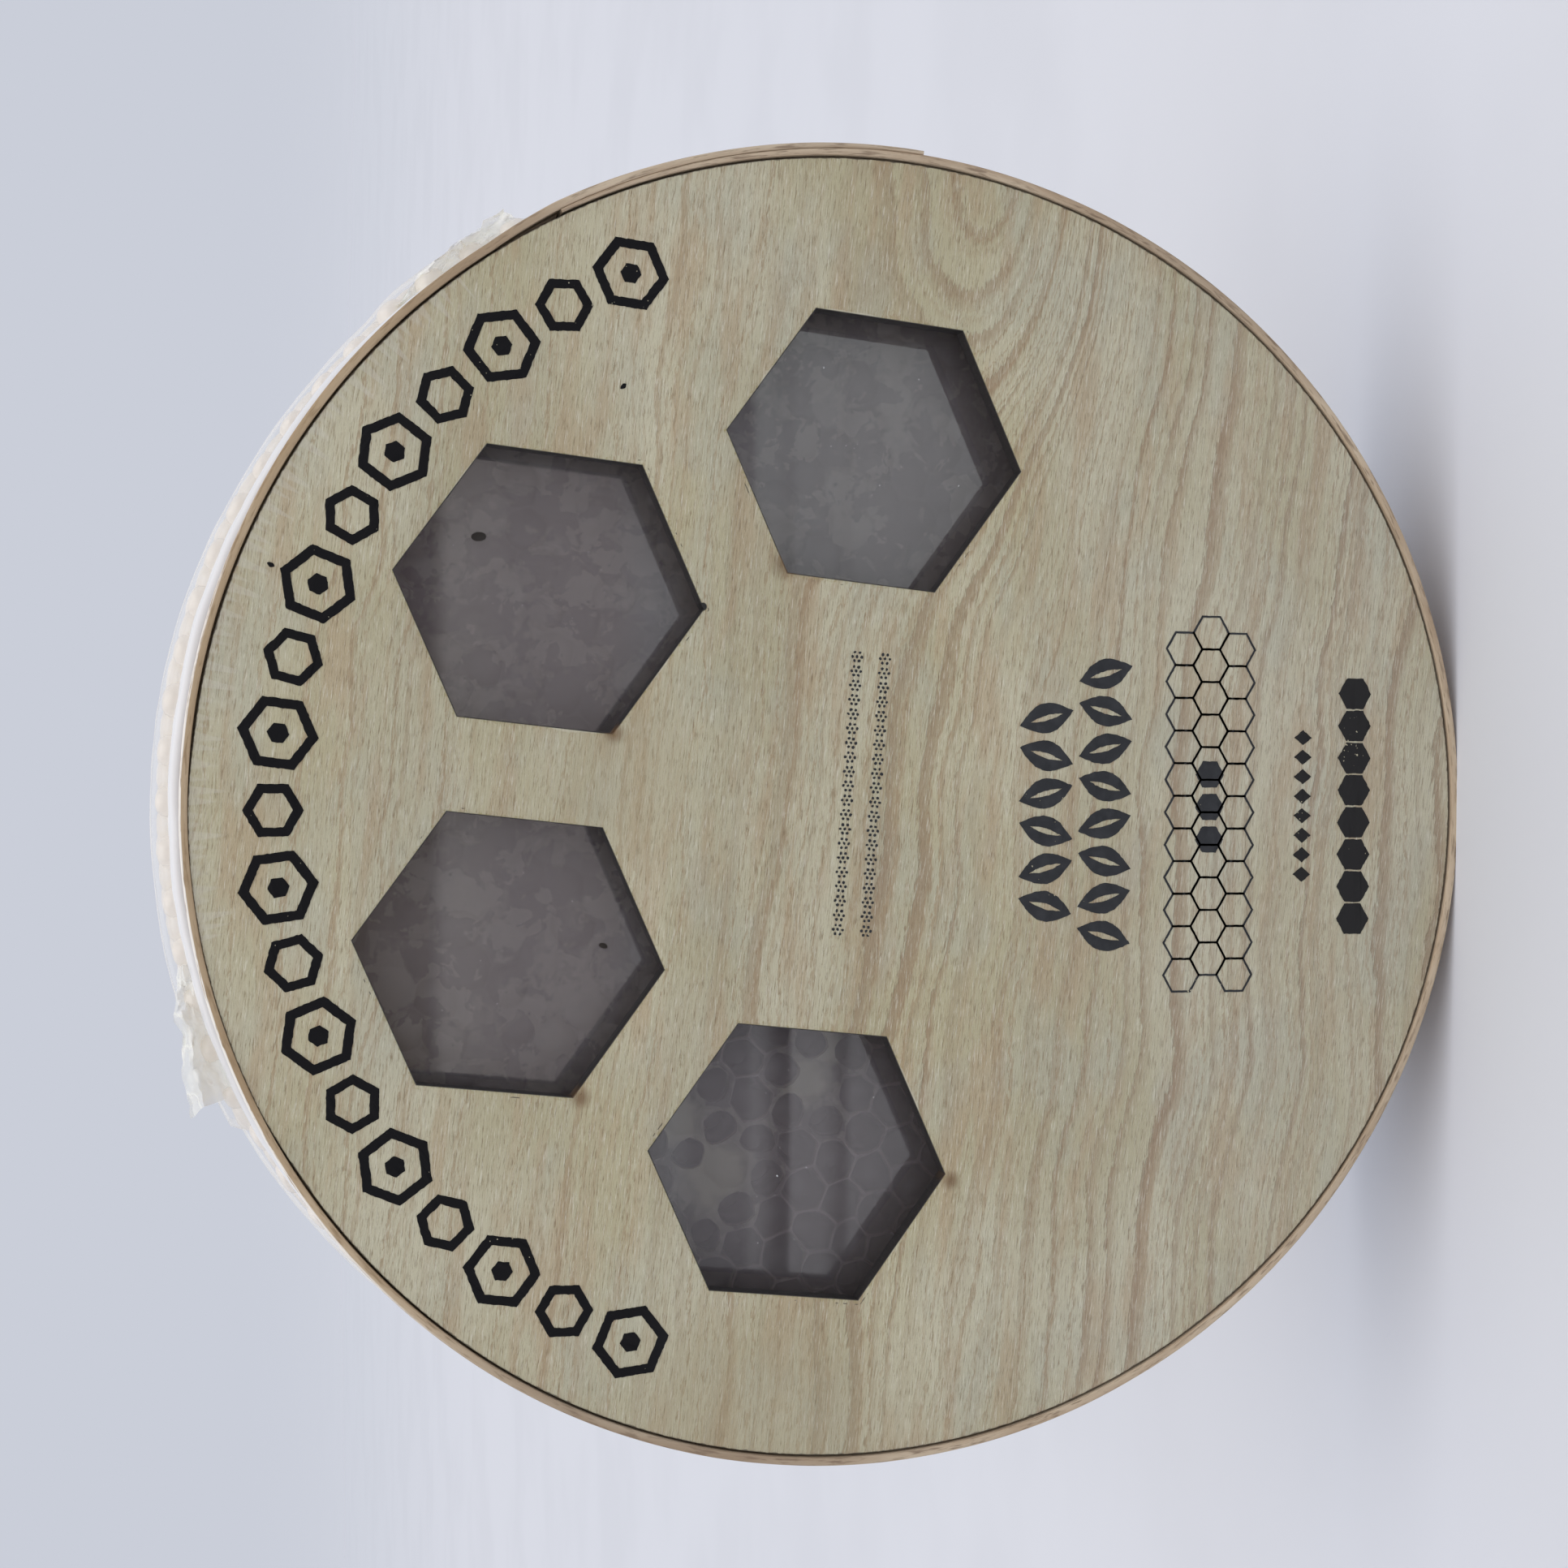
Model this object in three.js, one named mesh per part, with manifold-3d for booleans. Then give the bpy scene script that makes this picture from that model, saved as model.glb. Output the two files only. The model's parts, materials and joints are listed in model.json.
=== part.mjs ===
// A round bentwood box of comb honey, standing on its curved edge with the lid facing -Y.
// The lid is a thin board with four hexagonal windows inside a veneer ring. Behind the windows
// lies a clear cover, and under that the slab of comb. A strip of bubble wrap is wound round
// the side of the box behind the lid's ring. Millimetres, +Z up, X to the lid's right.
import * as THREE from 'three';
import { mergeVertices } from 'three/addons/utils/BufferGeometryUtils.js';
import Module from 'manifold-3d';

const wasm = await Module();
wasm.setup();

// ---- Driving dimensions -------------------------------------------------------------------

const GAP = 0.3; // air between neighbouring pieces

const RING_OUT = 84.2; // lid ring, outer radius
const RING_WALL = 1.05; // one layer of its veneer
const RING_DEPTH = 16; // from the lid's face to the ring's back edge
const FLAT_HALF = 7; // half the width of the flat spot that the box stands on

const OVERLAP_START = 62.6; // where the inner end of the veneer begins, clockwise from the top
const OVERLAP_END = 95.6; // where the outer end of the veneer stops
const OVERLAP_STEP = 0.5; // how far the inner end pushes the outer layer out
const WEDGE_LENGTH = 7; // degrees over which the outer layer comes back to the board

const PANEL_RECESS = 0.3; // lid board's face behind the ring's front edge
const PANEL_THICK = 2.8;
const PANEL_R = RING_OUT - RING_WALL - GAP;

const WINDOW_R = 19.5; // circumradius of a hexagonal window
const WINDOW_CIRCLE_R = 45.7; // the windows' centres lie on this circle
const WINDOW_CIRCLE_LIFT = 2.3; // its centre above the lid's
const WINDOW_PLACES = [0, 60, 120, 180]; // degrees round that circle, from its right
const BOARD_TURN = -5.8; // the cut board sits this far clockwise in its ring, degrees

const COVER_DEPTH = 8.5; // clear cover's front face behind the lid's face
const COVER_THICK = 0.8;

const SIDE_R = 82.8; // box side, outer radius
const SIDE_WALL = 1.2;
const BOX_DEPTH = 32; // lid's face to the back of the box
const BASE_THICK = 2.8;
const INNER_R = SIDE_R - SIDE_WALL - GAP; // what lies inside the side

const CELL_PITCH = 5.4; // comb cells, centre to centre
const CELL_WALL = 0.55;
const CELL_TURN = 12; // the comb's rows, degrees from level
const OPEN_CELL_DEPTH = 4.5;
const CAP_RISE = 0.45; // crown of a capped cell
const CAP_UNEVEN = 0.3; // how much the caps' crowns differ
const OPEN_ZONE = { x: -45.4, z: 6.9, radius: 22.5 }; // uncapped cells, from the lid's centre

const WRAP_FRONT = RING_DEPTH + GAP;
const WRAP_BACK = BOX_DEPTH - 0.4;
const BUBBLE_PITCH = 7;
const BUBBLE_RISE = 1.5;

// The wrap's outer film beyond the ring's radius, against degrees clockwise from the top.
// It is bunched at its loose ends, left of the top and low on the right, and pressed below.
const WRAP_PROFILE = [
    [-180, 0.6], [-120, 1.2], [-75, 1.4], [-50, 1.6], [-40, 1.9], [-29.2, 2.3], [-28.2, 6.4],
    [-24, 5.4], [-19, 3.9], [-12, 3.3], [0, 3.1], [20, 3.1], [32, 3.2], [45, 3.8], [51, 5.0],
    [58, 5.4], [61, 5.0], [62.5, 2.2], [75, 1.6], [120, 1.2], [180, 0.6],
];

// ---- Frame --------------------------------------------------------------------------------

const RAD = Math.PI / 180;
const CENTRE_Z = Math.sqrt(RING_OUT ** 2 - FLAT_HALF ** 2); // lid's centre above the floor
const FACE_Y = -RING_DEPTH / 2; // lid's front edge, so that the origin is mid flat spot
const atDepth = (depth) => FACE_Y + depth;

// A point of the lid's plane from a radius and degrees clockwise from the top.
function polar(radius, degrees) {
    return new THREE.Vector2(radius * Math.sin(degrees * RAD), radius * Math.cos(degrees * RAD));
}

// Straight lines between the points of a [position, value] table.
function along(table, position) {
    const next = Math.max(1, table.findIndex(([p]) => p >= position));
    const [p0, v0] = table[next - 1];
    const [p1, v1] = table[next];
    return v0 + (v1 - v0) * (position - p0) / (p1 - p0);
}

// ---- Building blocks ----------------------------------------------------------------------

function named(name, geometry, color, roughness, metalness = 0, opacity = 1) {
    const transparent = opacity < 1;
    const material = new THREE.MeshStandardMaterial({
        color, roughness, metalness, opacity, transparent,
    });
    const mesh = new THREE.Mesh(geometry, material);
    mesh.name = name;
    return mesh;
}

// Extrudes an outline drawn in the lid's plane between two depths behind the lid's face.
function slab(shape, front, back, curveSegments = 64) {
    const geometry = new THREE.ExtrudeGeometry(shape, {
        depth: back - front, bevelEnabled: false, curveSegments,
    });
    geometry.rotateX(Math.PI / 2);
    geometry.translate(0, atDepth(back), CENTRE_Z);
    return geometry;
}

function disc(radius) {
    const shape = new THREE.Shape();
    shape.absarc(0, 0, radius, 0, 2 * Math.PI, false);
    return shape;
}

function hexagon(radius, x, y, turn) {
    const corners = [];
    for (let k = 0; k < 6; k += 1) {
        const angle = (turn + 30 + 60 * k) * RAD;
        corners.push(new THREE.Vector2(x + radius * Math.cos(angle), y + radius * Math.sin(angle)));
    }
    return corners;
}

function toSolid(geometry) {
    const bare = geometry.clone();
    bare.deleteAttribute('normal');
    bare.deleteAttribute('uv');
    const merged = mergeVertices(bare, 1e-4);
    return new wasm.Manifold(new wasm.Mesh({
        numProp: 3,
        vertProperties: new Float32Array(merged.attributes.position.array),
        triVerts: new Uint32Array(merged.index.array),
    }));
}

function fromSolid(solid) {
    const { vertProperties, triVerts } = solid.getMesh();
    const geometry = new THREE.BufferGeometry();
    geometry.setAttribute('position', new THREE.BufferAttribute(vertProperties, 3));
    geometry.setIndex(new THREE.BufferAttribute(triVerts, 1));
    geometry.computeVertexNormals();
    return geometry;
}

function fromTriangles(points, triangles) {
    const geometry = new THREE.BufferGeometry();
    geometry.setAttribute('position', new THREE.Float32BufferAttribute(points.flat(), 3));
    geometry.setIndex(triangles.flat());
    geometry.computeVertexNormals();
    return geometry;
}

// A repeatable draw between -1 and 1 for a pair of whole numbers.
function uneven(i, j) {
    const wave = Math.sin(i * 127.1 + j * 311.7) * 43758.5453;
    return 2 * (wave - Math.floor(wave)) - 1;
}

// ---- Lid ----------------------------------------------------------------------------------

function windowCentres() {
    return WINDOW_PLACES.map((place) => {
        const angle = (place + BOARD_TURN) * RAD;
        const lift = polar(WINDOW_CIRCLE_LIFT, -BOARD_TURN);
        return new THREE.Vector2(
            lift.x + WINDOW_CIRCLE_R * Math.cos(angle),
            lift.y + WINDOW_CIRCLE_R * Math.sin(angle),
        );
    });
}

function lidPanel() {
    const board = disc(PANEL_R);
    for (const { x, y } of windowCentres()) {
        board.holes.push(new THREE.Path(hexagon(WINDOW_R, x, y, BOARD_TURN)));
    }
    return slab(board, PANEL_RECESS, PANEL_RECESS + PANEL_THICK);
}

// How far the ring's inner and outer faces stand out of round at its lapped joint.
const RING_IN_STEPS = [
    [0, 0], [OVERLAP_START - WEDGE_LENGTH, 0], [OVERLAP_START - 0.3, OVERLAP_STEP],
    [OVERLAP_START, 0], [360, 0],
];
const RING_OUT_STEPS = [
    [0, 0], [OVERLAP_START - WEDGE_LENGTH, 0], [OVERLAP_START - 0.3, OVERLAP_STEP],
    [OVERLAP_END - 0.3, OVERLAP_STEP], [OVERLAP_END, 0], [360, 0],
];

function ringOutline(radius, steps, floor) {
    const flatEnd = Math.asin(FLAT_HALF / RING_OUT) / RAD;
    const angles = steps.map(([angle]) => angle);
    if (floor) angles.push(180 - flatEnd, 180 + flatEnd);
    for (let angle = 0; angle < 360; angle += 3) {
        if (angles.every((other) => Math.abs(other - angle) > 1)) angles.push(angle);
    }
    angles.sort((a, b) => b - a);
    return angles.filter((angle) => angle > 0).map((angle) => {
        const point = polar(radius + along(steps, angle), angle);
        if (floor) point.y = Math.max(point.y, -CENTRE_Z);
        return point;
    });
}

function lidRing() {
    const ring = new THREE.Shape(ringOutline(RING_OUT, RING_OUT_STEPS, true));
    ring.holes.push(new THREE.Path(ringOutline(RING_OUT - RING_WALL, RING_IN_STEPS, false)));
    return slab(ring, 0, RING_DEPTH);
}

// ---- Box and its filling ------------------------------------------------------------------

function boxSide() {
    const side = disc(SIDE_R);
    side.holes.push(disc(SIDE_R - SIDE_WALL));
    return slab(side, PANEL_RECESS + PANEL_THICK + GAP, BOX_DEPTH, 48);
}

function isOpen(x, z) {
    return Math.hypot(x - OPEN_ZONE.x, z - OPEN_ZONE.z) < OPEN_ZONE.radius;
}

// The comb's front is a field of hexagons that share their corners. A capped cell rises to
// a crown in its middle, and the uncapped cells are then cut in as six-sided pits.
function combFront(front, back) {
    const rows = Math.ceil(INNER_R / (CELL_PITCH * Math.sqrt(3) / 2)) + 1;
    const columns = Math.ceil(INNER_R / CELL_PITCH) + 2;
    const turn = CELL_TURN * RAD;
    const points = [];
    const triangles = [];
    const cells = [];
    const cornerIndex = new Map();
    const place = (x, z, depth) => [
        x * Math.cos(turn) - z * Math.sin(turn),
        atDepth(depth),
        CENTRE_Z + x * Math.sin(turn) + z * Math.cos(turn),
    ];
    for (let row = -rows; row <= rows; row += 1) {
        for (let column = -columns; column <= columns; column += 1) {
            const x = (column + (row & 1) / 2) * CELL_PITCH;
            const z = row * CELL_PITCH * Math.sqrt(3) / 2;
            const centre = place(x, z, front);
            const open = isOpen(centre[0], centre[2] - CENTRE_Z);
            const crown = open ? 0 : -CAP_RISE - CAP_UNEVEN * uneven(row, column);
            centre[1] += crown + CAP_RISE + CAP_UNEVEN;
            const middle = points.push(centre) - 1;
            const corners = hexagon(CELL_PITCH / Math.sqrt(3), x, z, 0).map((corner) => {
                const key = `${Math.round(corner.x * 50)} ${Math.round(corner.y * 50)}`;
                if (!cornerIndex.has(key)) {
                    const point = place(corner.x, corner.y, front + CAP_RISE + CAP_UNEVEN);
                    cornerIndex.set(key, points.push(point) - 1);
                }
                return cornerIndex.get(key);
            });
            corners.forEach((corner, k) => {
                triangles.push([middle, corner, corners[(k + 1) % 6]]);
            });
            if (open) cells.push({ x: centre[0], z: centre[2] - CENTRE_Z, row, column });
        }
    }
    closeBehind(points, triangles, atDepth(back));
    return { field: fromTriangles(points, triangles), cells };
}

// Closes an open sheet of triangles with a flat copy of itself at another depth.
function closeBehind(points, triangles, y) {
    const count = points.length;
    const sheet = triangles.slice();
    const edges = new Set(sheet.flatMap(([a, b, c]) => [`${a} ${b}`, `${b} ${c}`, `${c} ${a}`]));
    for (let i = 0; i < count; i += 1) points.push([points[i][0], y, points[i][2]]);
    for (const [a, b, c] of sheet) triangles.push([a + count, c + count, b + count]);
    for (const edge of edges) {
        const [a, b] = edge.split(' ').map(Number);
        if (!edges.has(`${b} ${a}`)) {
            triangles.push([b, a, a + count], [b, a + count, b + count]);
        }
    }
}

function honeycomb() {
    const front = COVER_DEPTH + COVER_THICK + GAP;
    const back = BOX_DEPTH - BASE_THICK - GAP;
    const { field, cells } = combFront(front, back + 5);
    let comb = toSolid(field).intersect(toSolid(slab(disc(INNER_R), front - 1, back, 60)));
    for (const { x, z, row, column } of cells) {
        const pit = new THREE.Shape(
            hexagon((CELL_PITCH - CELL_WALL) / Math.sqrt(3), x, z, CELL_TURN),
        );
        const depth = front + OPEN_CELL_DEPTH + 0.6 * uneven(column, row);
        comb = comb.subtract(toSolid(slab(pit, front - 1, depth)));
    }
    return fromSolid(comb);
}

// ---- Bubble wrap --------------------------------------------------------------------------

// A closed band round the side: an outer sheet of bubbles in two staggered rows, an inner
// sheet on the box's side, and a rim at the front and the back.
function bubbleWrap() {
    const inner = SIDE_R + GAP;
    const columns = 2 * Math.round(2 * Math.PI * RING_OUT / BUBBLE_PITCH);
    const rows = 4;
    const points = [];
    const triangles = [];
    const sheet = [];
    for (let row = 0; row <= rows; row += 1) {
        const y = atDepth(WRAP_FRONT + (WRAP_BACK - WRAP_FRONT) * row / rows);
        sheet.push([]);
        for (let column = 0; column < columns; column += 1) {
            const degrees = 360 * column / columns - 180;
            const bubble = row % 2 === 1 && (column + (row - 1) / 2) % 2 === 0;
            const film = RING_OUT + along(WRAP_PROFILE, degrees);
            const point = polar(film + (bubble ? BUBBLE_RISE : 0), degrees);
            const z = Math.max(CENTRE_Z + point.y, 0);
            sheet[row].push(points.push([point.x, y, z]) - 1);
        }
    }
    const lining = [WRAP_FRONT, WRAP_BACK].map((depth) => sheet[0].map((_, column) => {
        const point = polar(inner, 360 * column / columns - 180);
        return points.push([point.x, atDepth(depth), CENTRE_Z + point.y]) - 1;
    }));
    const loops = [...sheet, lining[1], lining[0], sheet[0]];
    for (let k = 0; k + 1 < loops.length; k += 1) {
        for (let column = 0; column < columns; column += 1) {
            const next = (column + 1) % columns;
            const [a, b] = [loops[k][column], loops[k][next]];
            const [c, d] = [loops[k + 1][column], loops[k + 1][next]];
            triangles.push([a, b, c], [b, d, c]);
        }
    }
    return fromTriangles(points, triangles);
}

// ---- The box ------------------------------------------------------------------------------

const baseFront = BOX_DEPTH - BASE_THICK;
const cover = slab(disc(INNER_R), COVER_DEPTH, COVER_DEPTH + COVER_THICK, 48);
const base = slab(disc(INNER_R), baseFront, BOX_DEPTH, 48);

const box = new THREE.Group();
box.add(named('lid_panel', lidPanel(), 0xc5bb9c, 0.55));
box.add(named('lid_ring', lidRing(), 0xb89a78, 0.7));
box.add(named('clear_cover', cover, 0xdfe4ea, 0.08, 0, 0.3));
box.add(named('honeycomb', honeycomb(), 0x584a44, 0.5));
box.add(named('box_side', boxSide(), 0xcbb08a, 0.7));
box.add(named('base_board', base, 0xcdb792, 0.65));
box.add(named('bubble_wrap', bubbleWrap(), 0xe6e8ea, 0.25, 0, 0.5));

export default box;
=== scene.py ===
# A round bentwood box of comb honey, standing on its curved edge with the lid to the front.
# Each piece is drawn in the lid's own plane, in millimetres: x to the lid's right, y up from its
# centre and z out of its face towards the viewer. place() then puts it in the frame, in metres.
import json
import math
from contextlib import contextmanager
from functools import reduce

import bmesh
import bpy
import numpy as np
from mathutils import Euler, Matrix, Vector, noise

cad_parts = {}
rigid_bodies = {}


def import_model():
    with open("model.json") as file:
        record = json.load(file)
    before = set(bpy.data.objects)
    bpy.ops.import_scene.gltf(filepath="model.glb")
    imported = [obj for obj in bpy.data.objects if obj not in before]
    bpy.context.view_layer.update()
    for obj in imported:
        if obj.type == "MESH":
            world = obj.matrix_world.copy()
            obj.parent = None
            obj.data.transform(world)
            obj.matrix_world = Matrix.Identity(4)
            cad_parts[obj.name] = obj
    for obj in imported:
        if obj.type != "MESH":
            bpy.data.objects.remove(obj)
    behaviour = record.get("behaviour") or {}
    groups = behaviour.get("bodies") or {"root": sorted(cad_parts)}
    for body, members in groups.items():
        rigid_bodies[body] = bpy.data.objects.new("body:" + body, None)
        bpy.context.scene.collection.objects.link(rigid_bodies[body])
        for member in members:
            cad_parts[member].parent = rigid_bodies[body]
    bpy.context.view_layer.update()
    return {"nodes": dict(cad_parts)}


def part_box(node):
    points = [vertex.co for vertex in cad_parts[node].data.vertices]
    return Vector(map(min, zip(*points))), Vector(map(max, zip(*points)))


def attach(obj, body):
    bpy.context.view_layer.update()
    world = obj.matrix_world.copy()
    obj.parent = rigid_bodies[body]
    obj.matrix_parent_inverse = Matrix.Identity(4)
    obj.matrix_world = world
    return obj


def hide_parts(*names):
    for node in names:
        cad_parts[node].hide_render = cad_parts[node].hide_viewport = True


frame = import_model()

# ---- Sizes ----------------------------------------------------------------------------------

MM = 0.001

FACE_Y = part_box("lid_ring")[0].y  # front edge of the lid's ring
LID_CENTRE_Z = (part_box("lid_panel")[0].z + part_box("lid_panel")[1].z) / 2


def node_sizes(node):
    """A round CAD node's radius, and where it starts and ends behind the lid's front edge."""
    low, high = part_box(node)
    return (high.x - low.x) / 2 / MM, (low.y - FACE_Y) / MM, (high.y - FACE_Y) / MM


PANEL_R, PANEL_FRONT, PANEL_BACK = node_sizes("lid_panel")
_, COVER_FRONT, COVER_BACK = node_sizes("clear_cover")
COMB_R, COMB_FRONT, COMB_BACK = node_sizes("honeycomb")
SIDE_R, SIDE_FRONT, SIDE_BACK = node_sizes("box_side")
BASE_R, BASE_FRONT, BASE_BACK = node_sizes("base_board")
_, WRAP_FRONT, WRAP_BACK = node_sizes("bubble_wrap")
_, _, RING_BACK = node_sizes("lid_ring")

RING_OUT = 84.2  # lid ring, outer radius
RING_WALL = 1.05
FLAT_Y = -LID_CENTRE_Z / MM  # the floor, below the lid's centre
SIDE_WALL = 1.2

LAP_START = 62.6  # the veneer's inner end, degrees clockwise from the top
LAP_END = 95.6  # the veneer's outer end
LAP_STEP = 0.5  # how far the lap stands out
LAP_WEDGE = 7.0  # degrees over which the outer layer comes back to the board
LAP_SEAM = 0.06  # the gap between the lap's two layers

WINDOW_R = 19.5
WINDOW_CIRCLE_R = 45.7
WINDOW_CIRCLE_LIFT = 2.3
WINDOW_PLACES = (0, 60, 120, 180)
BOARD_TURN = -5.8  # the board and its grain lie this far clockwise in the ring, degrees
TOUCH = (-30, 3)  # where the board touches its ring, degrees clockwise from the top
BOARD_SWELL = ((TOUCH[0] - 3, 0), (TOUCH[0] + 3, 0.26), (TOUCH[1] - 3, 0.26), (TOUCH[1] + 3, 0))
TEETH = (-12, 52)  # where the board's edge is torn into teeth, degrees clockwise from the top
TOOTH = 1.1  # pitch of the teeth
PLY = 0.93  # thickness of one of the base board's plies

CELL_PITCH = 5.4
CELL_TURN = 12.0
CELL_DEPTH = 4.5
CAP_RISE = 0.45
CAP_UNEVEN = 0.3
OPEN_ZONE = (-45.4, 6.9)  # centre of the uncapped cells
OPEN_ZONE_R = 22.5
# Fresh pale wax among the uncapped cells: x, y and radius.
WAX_PATCHES = ((-40.8, 21.0, 3.2), (-48.0, 15.8, 4.6), (-35.8, 4.0, 3.2), (-31.4, 1.2, 2.4))

WRAP_PROFILE = (  # how far the wrap stands beyond the ring, against degrees clockwise from the top
    (-180, 0.6), (-120, 1.2), (-75, 1.4), (-50, 1.6), (-40, 1.9), (-29.2, 2.3), (-28.2, 6.4),
    (-24, 5.4), (-19, 3.9), (-12, 3.3), (0, 3.1), (16, 3.0), (26, 2.6), (40, 2.5), (46, 2.7),
    (51, 3.8), (58, 5.0), (61, 4.8), (62.5, 2.2), (75, 1.6), (120, 1.2), (180, 0.6),
)

# ---- Making meshes --------------------------------------------------------------------------

TO_FRAME = (Matrix.Translation((0, FACE_Y, LID_CENTRE_Z)) @ Matrix.Rotation(math.pi / 2, 4, "X")
            @ Matrix.Scale(MM, 4))


def polar(radius, degrees):
    """A point of the lid's plane from a radius and degrees clockwise from the top."""
    turn = math.radians(degrees)
    return radius * math.sin(turn), radius * math.cos(turn)


def along(table, position):
    """Straight lines between the points of a (position, value) table."""
    return float(np.interp(position, [p for p, _ in table], [v for _, v in table]))


def wave(x, y=0.0, z=0.0, octaves=3):
    """Smooth repeatable unevenness between about -1 and 1."""
    return noise.fractal(Vector((x, y, z)), 1.0, 2.0, octaves)


def new_object(name, data):
    """An object with this data, in the scene."""
    made = bpy.data.objects.new(name, data)
    bpy.context.collection.objects.link(made)
    return made


def mesh_of(points, faces, uvs=None):
    """A mesh from lists of points, faces and, for each face, its corners' (u, v)."""
    mesh = bpy.data.meshes.new("piece")
    mesh.from_pydata(points, [], faces)
    if uvs:
        layer = mesh.uv_layers.new(name="length_and_girth")
        layer.data.foreach_set("uv", [value for face in uvs for uv in face for value in uv])
    return mesh


def note_on(mesh, name, kind, values):
    """Stores one value or vector for each point of a mesh."""
    key = "vector" if kind == "FLOAT_VECTOR" else "value"
    mesh.attributes.new(name, kind, "POINT").data.foreach_set(key, values)


@contextmanager
def edited(mesh, *others):
    """Opens a mesh for editing, with others joined to it, and writes the result back."""
    work = bmesh.new()
    for source in (mesh, *others):
        work.from_mesh(source)
    yield work
    work.to_mesh(mesh)
    work.free()


def cleaned(mesh, merge=1e-3):
    """The same mesh with doubles merged, slivers gone and its faces pointing out."""
    with edited(mesh) as work:
        bmesh.ops.remove_doubles(work, verts=work.verts, dist=merge)
        bmesh.ops.dissolve_degenerate(work, edges=work.edges, dist=merge / 10)
        bmesh.ops.recalc_face_normals(work, faces=work.faces)
    return mesh


def joined(mesh, *others):
    """Several meshes as one."""
    with edited(mesh, *others):
        return mesh


def evaluated(host, modifier):
    """The mesh that a host becomes by its modifier. Both are removed."""
    mesh = bpy.data.meshes.new_from_object(
        host.evaluated_get(bpy.context.evaluated_depsgraph_get()))
    host.modifiers.remove(modifier)
    bpy.data.objects.remove(host)
    return mesh


def place(name, mesh, materials, replaces=None, sharp=35.0):
    """Puts a finished millimetre mesh in the frame as a named piece of the box."""
    mesh.name = name
    mesh.transform(TO_FRAME)
    mesh.materials.clear()
    for material in materials:
        mesh.materials.append(material)
    mesh.polygons.foreach_set("use_smooth", [True] * len(mesh.polygons))
    mesh.set_sharp_from_angle(angle=math.radians(sharp))
    piece = new_object(name, mesh)
    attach(piece, "root")
    if replaces:
        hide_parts(replaces)


def cut_sheet(outlines, front, back, bevel=0.0):
    """A closed flat sheet cut to closed outlines, with any holes among them. Front and back
    are heights out of the lid's face."""
    curve = bpy.data.curves.new("outline", "CURVE")
    curve.dimensions = "2D"
    curve.fill_mode = "BOTH"
    curve.extrude = (front - back) / 2 - bevel
    curve.bevel_depth = bevel
    curve.bevel_resolution = 1
    curve.offset = -bevel
    for outline in outlines:
        spline = curve.splines.new("POLY")
        spline.points.add(len(outline) - 1)
        for point, (x, y) in zip(spline.points, outline):
            point.co = (x, y, 0, 1)
        spline.use_cyclic_u = True
    cutter = bpy.data.objects.new("outline", curve)
    mesh = bpy.data.meshes.new_from_object(cutter)
    bpy.data.objects.remove(cutter)
    bpy.data.curves.remove(curve)
    mesh.transform(Matrix.Translation((0, 0, (front + back) / 2)))
    return cleaned(mesh)


def ring_faces(start, count, rings):
    """Faces between rings of this many points, counted from a first point, and a fan that
    closes the last ring at the point after it."""
    faces = [(a + k, a + (k + 1) % count, a + count + (k + 1) % count, a + count + k)
             for a in range(start, start + (rings - 1) * count, count) for k in range(count)]
    last = start + (rings - 1) * count
    return faces + [(last + k, last + (k + 1) % count, last + count) for k in range(count)]


def swept(stations, section, closed):
    """A tube swept round the box through these angles. section(angle) gives the (radius,
    height) corners of its section. Its UV map is the length and girth in millimetres."""
    rings = [[(*polar(radius, angle), height) for radius, height in section(angle)]
             for angle in stations]
    size = len(rings[0])
    girth = [0.0]
    for k in range(size):
        girth.append(girth[-1] + math.dist(rings[0][k], rings[0][(k + 1) % size]))
    length = [math.radians(angle) * RING_OUT for angle in stations]
    if closed:
        length.append(math.radians(stations[0] + 360) * RING_OUT)
    points = [point for ring in rings for point in ring]
    faces, uvs = [], []
    for i in range(len(rings) if closed else len(rings) - 1):
        here, there = i * size, (i + 1) % len(rings) * size
        for k in range(size):
            n = (k + 1) % size
            faces.append((here + k, here + n, there + n, there + k))
            uvs.append([(length[i], girth[k]), (length[i], girth[k + 1]),
                        (length[i + 1], girth[k + 1]), (length[i + 1], girth[k])])
    if not closed:
        for start in (0, (len(rings) - 1) * size):
            faces.append(tuple(range(start, start + size)))
            uvs.append([(0, g) for g in girth[:-1]])
    return mesh_of(points, faces, uvs)


def circle(radius, count, x=0.0, y=0.0, turn=0.0):
    """Points of a circle, or corners of a regular shape, from its first corner's turn on."""
    angles = [math.radians(turn + 360 * k / count) for k in range(count)]
    return [(x + radius * math.cos(a), y + radius * math.sin(a)) for a in angles]


def hexagon(radius, turn=0.0, x=0.0, y=0.0):
    """Corners of a hexagon with a corner at the top."""
    return circle(radius, 6, x, y, turn + 30)


def finely(outline, step):
    """The same outline with a point at least every step millimetres."""
    fine = []
    for (x0, y0), (x1, y1) in zip(outline, outline[1:] + outline[:1]):
        count = max(1, math.ceil(math.dist((x0, y0), (x1, y1)) / step))
        fine += [(x0 + (x1 - x0) * k / count, y0 + (y1 - y0) * k / count) for k in range(count)]
    return fine


# ---- Node trees -----------------------------------------------------------------------------


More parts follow.
